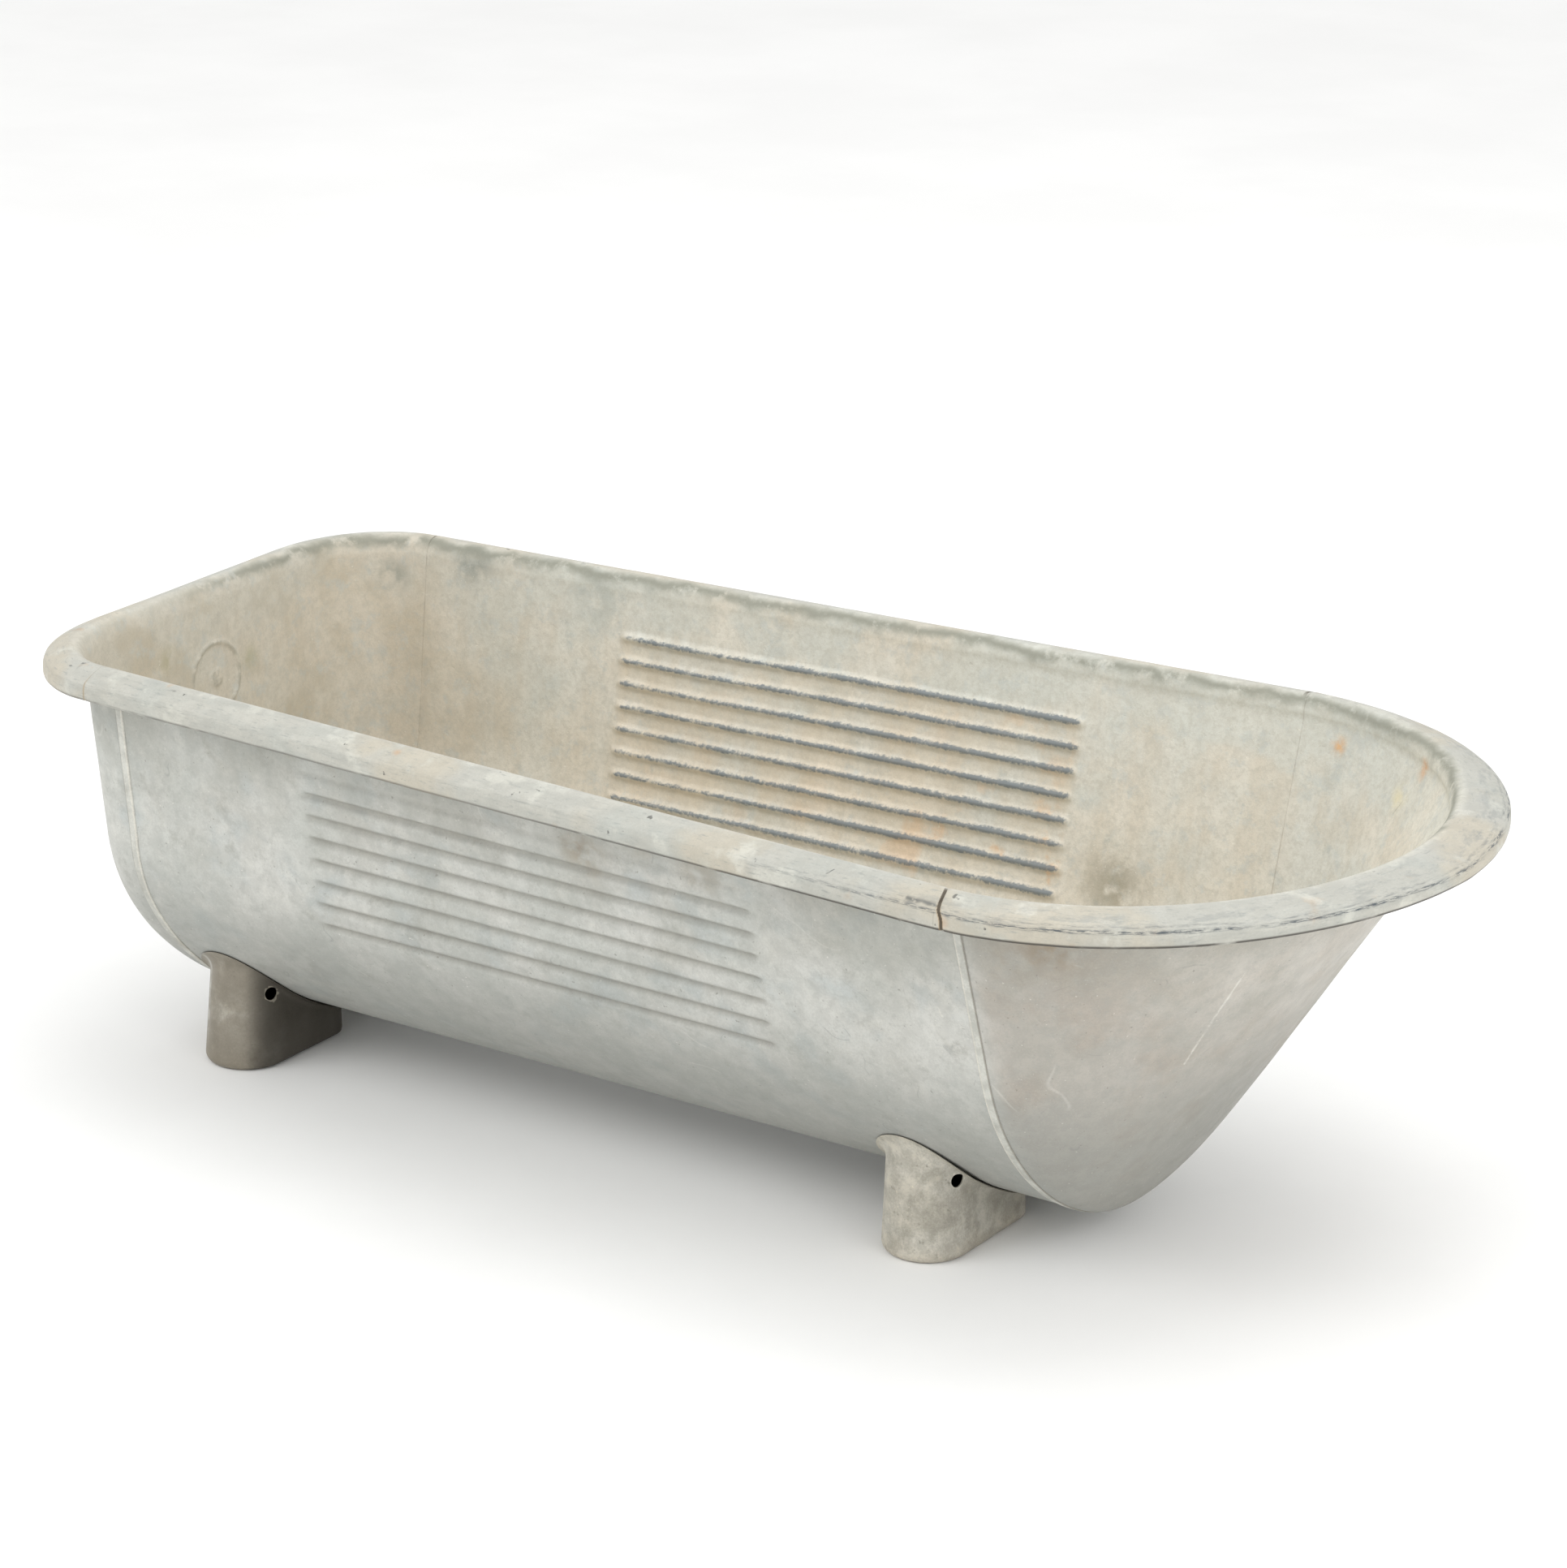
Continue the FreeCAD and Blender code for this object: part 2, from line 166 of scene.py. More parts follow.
def rim_section(width, height):
    """Rolled rim from the curled lip to the wall: (outward, up) from the crest."""
    angles = np.radians(np.linspace(160.0, 360.0, CURL_STEPS))
    curl = np.stack([width - LIP_CURL + LIP_CURL * np.cos(angles),
                     LIP_CURL - height + LIP_CURL * np.sin(angles)], 1)
    top = [(width - 0.1, -0.60 * height), (width - 1.0, -0.47 * height),
           (0.91 * width, -0.36 * height), (0.72 * width, -0.23 * height),
           (0.45 * width, -0.10 * height), (0.20 * width, -0.4), (0.04 * width, -0.2),
           (-4.6, -2.6), (-8.6, -8.0), (-11.0, -16.0)]
    return np.concatenate([curl, top])


def row_places(wall_rows, bilge_rows, knee_rows):
    """Fractional control indices of the rows of a section, lip to keel."""
    counts = ([CURL_ROWS] * (CURL_STEPS - 1) + [RIM_ROWS] * (RIM_POINTS + 1)
              + [wall_rows] * (WALL_STEPS) + [knee_rows] + [bilge_rows] * (BILGE_STEPS - 1))
    steps = [i + np.arange(count) / count for i, count in enumerate(counts)]
    return np.concatenate(steps + [[len(counts)]])


def side_control(x, mix, sign):
    half = lerp(wall_offset(UPRIGHT_SIDE, LEVELS), wall_offset(SLOPING_SIDE, LEVELS), mix)
    rim = rim_section(*lerp(np.array(RIM_UPRIGHT_SEAM), np.array(RIM_SLOPING_SEAM), mix))
    y = np.concatenate([half[0] + FLARE + rim[:, 0], half]) * sign
    z = np.concatenate([RIM_TOP + rim[:, 1], LEVELS])
    return np.stack([np.full_like(y, x), y, z], 1)


def upright_plan(reach, half):
    """Half plan of the upright end, seam to middle, near side."""
    corner = UPRIGHT_CORNER * half
    angles = np.radians(np.linspace(0.0, 90.0, 10))
    bend = np.stack([REAR_SEAM - reach * np.sin(angles),
                     corner - half - corner * np.cos(angles)], 1)
    y = (corner - half) * (1 - np.arange(1, 7) / 6)
    return np.concatenate([bend, np.stack([np.full(6, REAR_SEAM - reach), y], 1)])


def sloping_plan(reach, half):
    """Half plan of the sloping end, seam to middle, near side."""
    angles = np.radians(np.linspace(0.0, 90.0, 25))
    power = 2 / SLOPING_PLAN_POWER
    return np.stack([FRONT_SEAM + reach * np.sin(angles) ** power,
                     -half * np.clip(np.cos(angles), 0.0, 1.0) ** power], 1)


def end_control(plan_at, side, end, rims, outside):
    """Control points round one end: columns from seam to seam, each lip to keel."""
    plans = []
    for z in LEVELS:
        half_plan = plan_at(wall_offset(end, z), wall_offset(side, z))
        plans.append(np.concatenate([half_plan, half_plan[-2::-1] * [1, -1]]))
    plans = np.array(plans)
    top = plans[0]
    tangent = np.gradient(top, axis=0)
    normal = np.stack([tangent[:, 1], -tangent[:, 0]], 1) * outside
    normal /= np.linalg.norm(normal, axis=1)[:, None]
    normal[0], normal[-1] = (0.0, -1.0), (0.0, 1.0)
    middle = (len(top) - 1) / 2
    columns = []
    for i in range(len(top)):
        rim = rim_section(*lerp(np.array(rims[1]), np.array(rims[0]), abs(i - middle) / middle))
        plan = top[i] + normal[i] * (FLARE + rim[:, :1])
        upper = np.column_stack([plan, RIM_TOP + rim[:, 1]])
        lower = np.column_stack([plans[:, i], LEVELS])
        columns.append(np.concatenate([upper, lower]))
    return np.array(columns)


def grid_normals(grid):
    """Unit normals of a grid[column, row], pointing into the tub."""
    along = np.gradient(grid, axis=0)
    down = np.gradient(grid, axis=1)
    normal = np.cross(along, down)
    return normal / np.linalg.norm(normal, axis=2)[:, :, None]


def field(points, size, seed):
    """Smooth noise from -1 to 1 at each point of a grid, with blobs of the given size."""
    flat = points.reshape(-1, 3) / size + seed
    return np.array([noise.noise(p) for p in flat]).reshape(points.shape[:-1])


def bump(grid, place, radius):
    """A round soft bump, 1 at place and 0 beyond radius."""
    distance = np.linalg.norm(grid - np.array(place), axis=-1)
    return 1 - smooth(0.0, radius, distance)


# ---- meshes ---------------------------------------------------------------
def skin_faces(columns, rows, start, flip):
    faces = []
    for i in range(columns - 1):
        for j in range(rows - 1):
            a = start + i * rows + j
            quad = (a, a + 1, a + rows + 1, a + rows)
            faces.append(quad[::-1] if flip else quad)
    return faces


def border(columns, rows, cap_last_row):
    """Vertex numbers round a grid, without the last row when it is left open."""
    line = [i * rows for i in range(columns)]
    line += [(columns - 1) * rows + j for j in range(1, rows)]
    if cap_last_row:
        line += [i * rows + rows - 1 for i in range(columns - 2, -1, -1)]
        line += [j for j in range(rows - 2, 0, -1)]
    return line


def add_object(name, points, faces, attributes, material):
    mesh = bpy.data.meshes.new(name)
    mesh.from_pydata((points * MM).tolist(), [], faces)
    for key, values in attributes.items():
        layer = mesh.attributes.new(key, "FLOAT", "POINT")
        layer.data.foreach_set("value", np.asarray(values, np.float32))
    mesh.materials.append(material)
    mesh.update()
    mesh.validate()
    piece = bpy.data.objects.new(name, mesh)
    bpy.context.scene.collection.objects.link(piece)
    mesh.polygons.foreach_set("use_smooth", [True] * len(mesh.polygons))
    return piece


def clean_mesh(piece, weld):
    """Turns all faces outwards, after joining points that coincide when weld is true."""
    work = bmesh.new()
    work.from_mesh(piece.data)
    if weld:
        bmesh.ops.remove_doubles(work, verts=work.verts, dist=WELD)
    bmesh.ops.recalc_face_normals(work, faces=work.faces)
    work.to_mesh(piece.data)
    work.free()


def sheet_piece(name, outer, inner, attributes, material, closed_keel):
    """A sheet between two skins; closed_keel joins both skins at the last row."""
    columns, rows = outer.shape[:2]
    count = columns * rows
    points = np.concatenate([outer.reshape(-1, 3), inner.reshape(-1, 3)])
    faces = skin_faces(columns, rows, 0, True) + skin_faces(columns, rows, count, False)
    edge = border(columns, rows, not closed_keel)
    if not closed_keel:
        edge.append(edge[0])
    else:
        edge = [j for j in range(rows - 1, 0, -1)] + edge
    for a, b in zip(edge, edge[1:]):
        faces.append((a, b, b + count, a + count))
    values = {key: np.concatenate([np.ravel(pair[0]), np.ravel(pair[1])])
              for key, pair in attributes.items()}
    piece = add_object(name, points, faces, values, material)
    clean_mesh(piece, True)
    piece.data.polygons.foreach_set("use_smooth", [True] * len(piece.data.polygons))
    return piece


def rim_lap(places):
    """0 at the lip, 1 at the crest's inner shoulder, and on past it down the wall."""
    return places / (CURL_STEPS + RIM_POINTS - 4)


def dents(grid):
    """Gentle waves and a few dents in millimetres, outwards positive."""
    wave = 0.9 * field(grid, 170.0, 3.1) + 0.35 * field(grid, 60.0, 8.7)
    wave -= 2.6 * bump(grid, (-560.0, -252.0, 330.0), 90.0)
    wave -= 2.2 * bump(grid, (330.0, -318.0, 330.0), 80.0)
    wave -= 2.4 * bump(grid, (560.0, -240.0, 300.0), 100.0)
    wave -= 2.0 * bump(grid, (-300.0, 290.0, 380.0), 110.0)
    wave -= 2.0 * bump(grid, (640.0, 150.0, 330.0), 110.0)
    return wave


def body_piece(material):
    places = row_places(SIDE_WALL_ROWS, SIDE_BILGE_ROWS, KNEE_ROWS)
    coarse = np.linspace(REAR_SEAM, FRONT_SEAM, BODY_STATIONS)
    fine = [np.linspace(x - 24.0, x + 24.0, 13) for x in RIB_ENDS]
    near_seams = [np.array([REAR_SEAM + d, FRONT_SEAM - d]) for d in np.arange(0.8, 12.0, 1.0)]
    stations = np.unique(np.concatenate([coarse] + fine + near_seams).round(3))
    ends = []
    for x, mix in ((REAR_SEAM, 0.0), (FRONT_SEAM, 1.0)):
        near = resample(side_control(x, mix, -1), places)
        far = resample(side_control(x, mix, 1), places)
        ends.append(np.concatenate([near, far[::-1]]))
    mix = ((stations - REAR_SEAM) / (FRONT_SEAM - REAR_SEAM))[:, None, None]
    grid = ends[0][None] * (1 - mix) + ends[1][None] * mix
    return finish_sheet("bath_body", grid, np.concatenate([places, places[::-1]]),
                        stations, 1.0, material, False, ribs=True)


def end_piece(name, plan_at, side, end, rims, outside, seam, material, roundel):
    wall_rows = ROUNDEL_WALL_ROWS if roundel else END_WALL_ROWS
    places = row_places(wall_rows, END_BILGE_ROWS, END_KNEE_ROWS)
    control = end_control(plan_at, side, end, rims, outside)
    last = len(control) - 1
    along = [np.arange(0, last + 0.01, 0.25), np.arange(0.06, 0.9, 0.06)]
    along.append(last - along[1])
    if roundel:
        along.append(np.arange(last / 2 - 2.0, last / 2 + 2.3, 0.07))
    along = np.unique(np.concatenate(along).round(3))
    grid = resample(control, along)
    grid = np.stack([resample(column, places) for column in grid])
    grid[0, :, 0] = seam
    grid[-1, :, 0] = seam
    keel = np.broadcast_to(np.array([seam, 0.0, LEVELS[-1]]), (len(grid), 1, 3))
    grid = np.concatenate([grid, keel], 1)
    top = grid[:, np.searchsorted(places, CURL_STEPS + 5.0)]
    arc = np.concatenate([[0], np.cumsum(np.linalg.norm(np.diff(top, axis=0), axis=1))])
    arc = np.minimum(arc, arc[-1] - arc)
    distance = seam + outside * arc
    return finish_sheet(name, grid, np.append(places, places[-1]), distance, outside,
                        material, True, roundel=roundel)


def rim_joint(grid, lap):
    """1 on the line where two rims lap, 0 beside it."""
    x = grid[..., 0]
    front = JOINT_START + JOINT_RUN * np.clip((1.0 - lap) / 0.45, 0.0, 1.0)
    front_gap = np.abs(x - FRONT_SEAM - front)
    strength = np.where(grid[..., 1] < 0, REAR_JOINT_STRENGTH[-1], REAR_JOINT_STRENGTH[1])
    rear = strength * (1 - smooth(0.4, 1.8, np.abs(x - REAR_SEAM)))
    return np.maximum(1 - smooth(0.8, 2.8, front_gap), rear)


def finish_sheet(name, grid, places, along, outside, material, closed_keel,
                 ribs=False, roundel=False):
    """Adds dents, ribs and thickness to a grid and makes the piece."""
    normal = grid_normals(grid)
    if outside < 0:
        normal = -normal
    if closed_keel:
        normal[:, -1] = (0.0, 0.0, 1.0)
    lap = np.broadcast_to(rim_lap(places), grid.shape[:2])
    shoulder = np.where(lap < 1.0, 0.0, smooth(1.0, 1.35, lap))
    seam_gap = np.abs(grid[..., 0] - (REAR_SEAM if grid[0, 0, 0] == REAR_SEAM else FRONT_SEAM))
    if ribs:
        seam_gap = np.minimum(grid[..., 0] - REAR_SEAM, FRONT_SEAM - grid[..., 0])
    away = smooth(0.0, 90.0, seam_gap)
    keel_fade = smooth(KEEL + 6.0, KEEL + 60.0, grid[..., 2])
    shift = -dents(grid) * shoulder * away * keel_fade
    rim_wave = 0.5 * np.abs(field(grid * [1, 1, 0], 120.0, 5.2)) + 0.3 * np.abs(field(grid, 35.0, 1.4))
    rim_sink = rim_wave * (1 - smooth(0.8, 1.0, lap)) * smooth(0.0, 20.0, seam_gap)
    joint = rim_joint(grid, lap) * (1 - smooth(1.05, 1.25, lap))
    grid = grid + normal * shift[..., None]
    grid[..., 2] -= rim_sink
    pushed = {"outer": np.zeros(grid.shape[:2]), "inner": np.zeros(grid.shape[:2])}
    crest = np.zeros(grid.shape[:2])
    below = np.zeros(grid.shape[:2])
    ribbed = np.zeros(grid.shape[:2])
    if ribs:
        x, z = grid[..., 0] - RIB_SHIFT * np.sign(grid[..., 1]), grid[..., 2]
        length = smooth(RIB_ENDS[0], RIB_ENDS[0] + RIB_FADE, x)
        length = length * (1 - smooth(RIB_ENDS[1] - RIB_FADE, RIB_ENDS[1], x))
        length = length * (np.abs(grid[..., 1]) > RIB_KEEL_CLEAR) * (lap > 1.0)
        for i in range(RIB_COUNT):
            away_from_rib = z - (RIB_FIRST_Z - i * RIB_PITCH)
            for key, half in (("outer", GROOVE_HALF), ("inner", RIDGE_HALF)):
                reach = np.clip(np.abs(away_from_rib) / half, 0.0, 1.0)
                worn = np.where((i == 0) & (grid[..., 1] < 0), FAINT_GROOVE, 1.0)
                pushed[key] += worn * length * RIB_HEIGHT * (0.5 + 0.5 * np.cos(math.pi * reach))
            crest += worn * length * np.exp(-((away_from_rib - 0.4) / 3.9) ** 2)
            # below: mask for the painted shade just under each ridge
            below += length * np.exp(-((away_from_rib + 5.6) / 4.0) ** 2)
        ribbed = length * smooth(RIB_FIRST_Z - RIB_COUNT * RIB_PITCH, 230.0, z)
        ribbed = ribbed * (1 - smooth(RIB_FIRST_Z - 4.0, RIB_FIRST_Z + 8.0, z))
    mark = np.zeros(grid.shape[:2])
    if roundel:
        radius = np.hypot(grid[..., 1] - ROUNDEL[0], grid[..., 2] - ROUNDEL[1])
        on_end = (lap > 1.0) * (np.abs(normal[..., 0]) > 0.9)
        mark = on_end * np.exp(-((radius - ROUNDEL_RADIUS) / 2.6) ** 2)
        mark += on_end * 0.8 * (1 - smooth(8.0, 13.0, radius))
    outer = grid + normal * pushed["outer"][..., None]
    lifted = pushed["inner"] + 1.8 * mark + SHEET - 1.0 * joint
    inner = grid + normal * np.maximum(lifted, pushed["outer"] + 0.5)[..., None]
    along = np.broadcast_to(np.asarray(along)[:, None], grid.shape[:2]) * MM
    side = np.sign(grid[..., 1]) * 3.0
    zero, one = np.zeros(grid.shape[:2]), np.ones(grid.shape[:2])
    attributes = {"inside": (zero, one), "lap": (lap, lap), "along": (along + side, along + side),
                  "crest": (zero, crest), "groove": (crest, zero), "ribbed": (ribbed, ribbed),
                  "below": (zero, below),
                  "joint": (joint, joint), "mark": (zero, mark)}
    if outside < 0:
        outer, inner = outer[::-1], inner[::-1]
        attributes = {k: (a[::-1], b[::-1]) for k, (a, b) in attributes.items()}
    return sheet_piece(name, outer, inner, attributes, material, closed_keel)


def seam_piece(name, seam, inward, material):
    """Folded seam: a flattened ridge that follows the body's section beside the seam."""
    places = row_places(6, 4, 6)
    places = places[places > CURL_STEPS + 7.0]
    profile = [(0.3, -0.5), (0.5, 0.6), (1.4, 1.35), (3.0, 1.5), (6.0, 1.3), (8.6, 1.5),
               (10.2, 1.2), (10.8, 0.4), (10.9, -0.5)]
    rings = []
    for offset, height in profile:
        x = seam + inward * offset
        mix = (x - REAR_SEAM) / (FRONT_SEAM - REAR_SEAM)
        near = resample(side_control(x, mix, -1), places)
        far = resample(side_control(x, mix, 1), places)
        line = np.concatenate([near, far[::-1]])
        tangent = np.gradient(line, axis=0)
        out = np.stack([np.zeros(len(line)), -tangent[:, 2], tangent[:, 1]], 1)
        out /= np.linalg.norm(out, axis=1)[:, None]
        rings.append(line - out * min(height, SEAM_HEIGHT))
    rings = np.array(rings)
    columns, rows = rings.shape[:2]
    faces = skin_faces(columns, rows, 0, False)
    faces += [(j, j + 1, (columns - 1) * rows + j + 1, (columns - 1) * rows + j)
              for j in range(rows - 1)]
    faces += [tuple(i * rows for i in range(columns)),
              tuple(i * rows + rows - 1 for i in range(columns))]
    length = np.broadcast_to(np.array([p[0] for p in profile])[:, None], (columns, rows))
    piece = add_object(name, rings.reshape(-1, 3), faces, {"across": length.ravel()}, material)
    clean_mesh(piece, False)
    return piece


# ---- feet -----------------------------------------------------------------
# each pair: lean of the outer end in 100 mm of height, height and turn of the vent hole
FOOT_PAIRS = {"rear": (12.0, 85.0, 65.0), "front": (5.0, 87.0, 68.0)}
FOOT_TOP_Z = 175.0
FOOT_TAPER = 6.0
FOOT_CORNER = 12.0
SOLE_RADIUS = 9.0
FLANGE = 12.0
FLANGE_TRIM = 1.6                    # the flange stops this much short of the CAD flange
FOOT_GAP = 0.8
HOLE_RADIUS = 7.5
FOOT_COLUMNS = 112
FLARE_DROP = 13.0


def hull_z(x, y):
    """Height of the body's underside above a point of the floor."""
    mix = (x - REAR_SEAM) / (FRONT_SEAM - REAR_SEAM)
    heights = np.linspace(KEEL, WALL_TOP, 500)
    upright = wall_offset(UPRIGHT_SIDE, heights)
    sloping = wall_offset(SLOPING_SIDE, heights)
    result = [np.interp(abs(b), lerp(upright, sloping, m), heights)
              for m, b in zip(np.ravel(mix), np.ravel(y))]
    return np.array(result).reshape(np.shape(y))


def foot_plan(half_width, outer_y, inner_y, corner):
    """Closed plan of a foot about its centre line: x across, y away from the keel."""
    turn = outer_y - half_width
    angles = np.radians(np.linspace(180.0, 0.0, 41))
    end = np.stack([half_width * np.cos(angles), turn + half_width * np.sin(angles)], 1)
    heel = inner_y + corner
    quarter = np.radians(np.linspace(0.0, 90.0, 7))
    right = np.stack([half_width - corner + corner * np.cos(quarter),
                      heel - corner * np.sin(quarter)], 1)
    left = right[::-1] * [-1, 1]
    return np.concatenate([end, right, left, end[:1]])


def even_loop(loop, like, count):
    """Points at equal steps of the length of the loop called like, read from loop."""
    step = np.linalg.norm(np.diff(like, axis=0), axis=1)
    length = np.concatenate([[0], np.cumsum(step)])
    want = np.linspace(0, length[-1], count, endpoint=False)
    return np.stack([np.interp(want, length, loop[:, k]) for k in (0, 1)], 1)


def plan_normals(plan):
    tangent = np.roll(plan, -1, axis=0) - np.roll(plan, 1, axis=0)
    normal = np.stack([-tangent[:, 1], tangent[:, 0]], 1)
    return normal / np.linalg.norm(normal, axis=1)[:, None]


def foot_skin(centre_x, outer_y, inner_y, half_width, lean, shrink, lift):
    """Rings of a foot from the middle of its sole to the edge of its flange."""
    top_outer = outer_y - lean * FOOT_TOP_Z / 100.0
    base = foot_plan(half_width, outer_y, inner_y, FOOT_CORNER)
    head = foot_plan(half_width - FOOT_TAPER, top_outer, inner_y, FOOT_CORNER)
    low = even_loop(base, base, FOOT_COLUMNS)
    high = even_loop(head, base, FOOT_COLUMNS)
    out = plan_normals(low)
    low = low - out * shrink
    high = high - out * shrink

    def ring(z, push):
        plan = low + (high - low) * (np.asarray(z) / FOOT_TOP_Z).reshape(-1, 1)
        plan = plan + out * np.asarray(push).reshape(-1, 1)
        return np.column_stack([plan, np.broadcast_to(z, len(plan))])

    meet = np.full(FOOT_COLUMNS, 100.0)
    for _ in range(8):
        plan = ring(meet, 0.0)
        meet = hull_z(centre_x + plan[:, 0], plan[:, 1]) - lift
    radius = SOLE_RADIUS - shrink
    rings = []
    middle = ring(shrink, -radius)
    centre = middle[:, :2].mean(0)
    for share in (0.0, 0.35, 0.7):
        rings.append(np.column_stack([lerp(centre, middle[:, :2], share), middle[:, 2]]))
    for angle in np.radians(np.linspace(0.0, 90.0, 8)):
        rings.append(ring(shrink + radius * (1 - math.cos(angle)), -radius * (1 - math.sin(angle))))
    knee = meet - FLARE_DROP
    for share in np.linspace(0.0, 1.0, 15)[1:]:
        rings.append(ring(lerp(shrink + radius, knee, share), 0.0))
    below, corner = ring(knee, 0.0), ring(meet, 0.0)
    spread = (FLANGE - FLANGE_TRIM) * smooth(inner_y, inner_y + 16.0, corner[:, 1])
    spread = np.maximum(spread, 1.5)
    flange = ring(meet, spread)
    flange[:, 2] = hull_z(centre_x + flange[:, 0], flange[:, 1]) - lift
    for t in np.linspace(0.0, 1.0, 9)[1:]:
        rings.append(below * (1 - t) ** 2 + corner * 2 * t * (1 - t) + flange * t ** 2)
    return np.array(rings)


def foot_piece(name, node, material):
    low, high = (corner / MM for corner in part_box(node))
    centre_x = (low.x + high.x) / 2
    side = 1 if low.y > 0 else -1
    lean, hole_z, hole_turn = FOOT_PAIRS[name.split("_")[2]]
    inner_y, flange_y = sorted((abs(low.y), abs(high.y)))
    outer_y = flange_y + lean - FLANGE
    half_width = (high.x - low.x) / 2 - FLANGE + FOOT_TAPER - 0.1
    outer = foot_skin(centre_x, outer_y, inner_y, half_width, lean, 0.0, FOOT_GAP)
    inner = foot_skin(centre_x, outer_y, inner_y, half_width, lean, SHEET, FOOT_GAP)
    rows, columns = outer.shape[:2]
    lift = 3.0 if name == "foot_near_front_piece" else 0.5
    turn = np.arctan2(outer[-1, :, 0], outer[-1, :, 1] - 120.0)
    gap = lift * np.exp(-((turn - 0.8) / 0.5) ** 2)
    for k in range(8):
        outer[-8 + k, :, 2] -= gap * (k + 1) / 8 + SHEET * (k + 1) / 8
        inner[-8 + k, :, 2] -= gap * (k + 1) / 8
    points = np.concatenate([outer.reshape(-1, 3), inner.reshape(-1, 3)])
    rise = np.concatenate([np.repeat(np.arange(rows), columns)] * 2) / rows
    points = np.column_stack([points[:, 0] + centre_x, points[:, 1] * side, points[:, 2]])
    count = rows * columns
    faces = []
    for skin, start in enumerate((0, count)):
        for i in range(rows - 1):
            for j in range(columns):
                a, b = start + i * columns + j, start + i * columns + (j + 1) % columns
                faces.append((a, b, b + columns, a + columns))
    for j in range(columns):
        a, b = (rows - 1) * columns + j, (rows - 1) * columns + (j + 1) % columns
        faces.append((a, b, b + count, a + count))
    skin = np.concatenate([np.zeros(count), np.ones(count)])
    # flank: how far each column faces +X; the foot paint uses it for painted shade and a painted
    # highlight
    middle = outer[12]
    across = np.roll(middle, -1, axis=0) - np.roll(middle, 1, axis=0)
    facing = -across[:, 1] / np.linalg.norm(across[:, :2], axis=1)
    flank = np.tile(np.tile(facing, rows), 2)
    piece = add_object(name, points, faces, {"rise": rise, "skin": skin, "flank": flank}, material)
    clean_mesh(piece, True)
    drill_hole(piece, (centre_x, side * (outer_y - lean - half_width), hole_z), hole_turn, side,
               half_width)
    piece.data.polygons.foreach_set("use_smooth", [True] * len(piece.data.polygons))
    mark_sharp(piece, 40.0)
    return piece


def drill_hole(piece, start, turn, side, half_width):
    turn = math.radians(turn)
    axis = Vector((math.sin(turn), math.cos(turn) * side, 0))
    middle = Vector(start) + axis * half_width
    bpy.ops.mesh.primitive_cylinder_add(vertices=40, radius=HOLE_RADIUS * MM, depth=40 * MM)
    drill = bpy.context.object
    drill.rotation_mode = "QUATERNION"
    drill.rotation_quaternion = axis.to_track_quat("Z", "Y")
    drill.location = middle * MM
    cut = piece.modifiers.new("vent", "BOOLEAN")
    cut.operation = "DIFFERENCE"
    cut.solver = "EXACT"
    cut.object = drill
    bpy.context.view_layer.objects.active = piece
    piece.select_set(True)
    bpy.ops.object.modifier_apply(modifier="vent")
    bpy.data.objects.remove(drill)


def mark_sharp(piece, degrees):
    limit = math.radians(degrees)
    tidy = bmesh.new()
    tidy.from_mesh(piece.data)
    for edge in tidy.edges:
        if len(edge.link_faces) == 2 and edge.calc_face_angle(0.0) > limit:
            edge.smooth = False
    tidy.to_mesh(piece.data)
    tidy.free()


# ---- materials ------------------------------------------------------------
def srgb(red, green, blue):
    """Linear colour from 0-255 display values."""
    out = []
    for value in (red, green, blue):
        v = value / 255.0
        out.append(v / 12.92 if v <= 0.04045 else ((v + 0.055) / 1.055) ** 2.4)
    return (*out, 1.0)


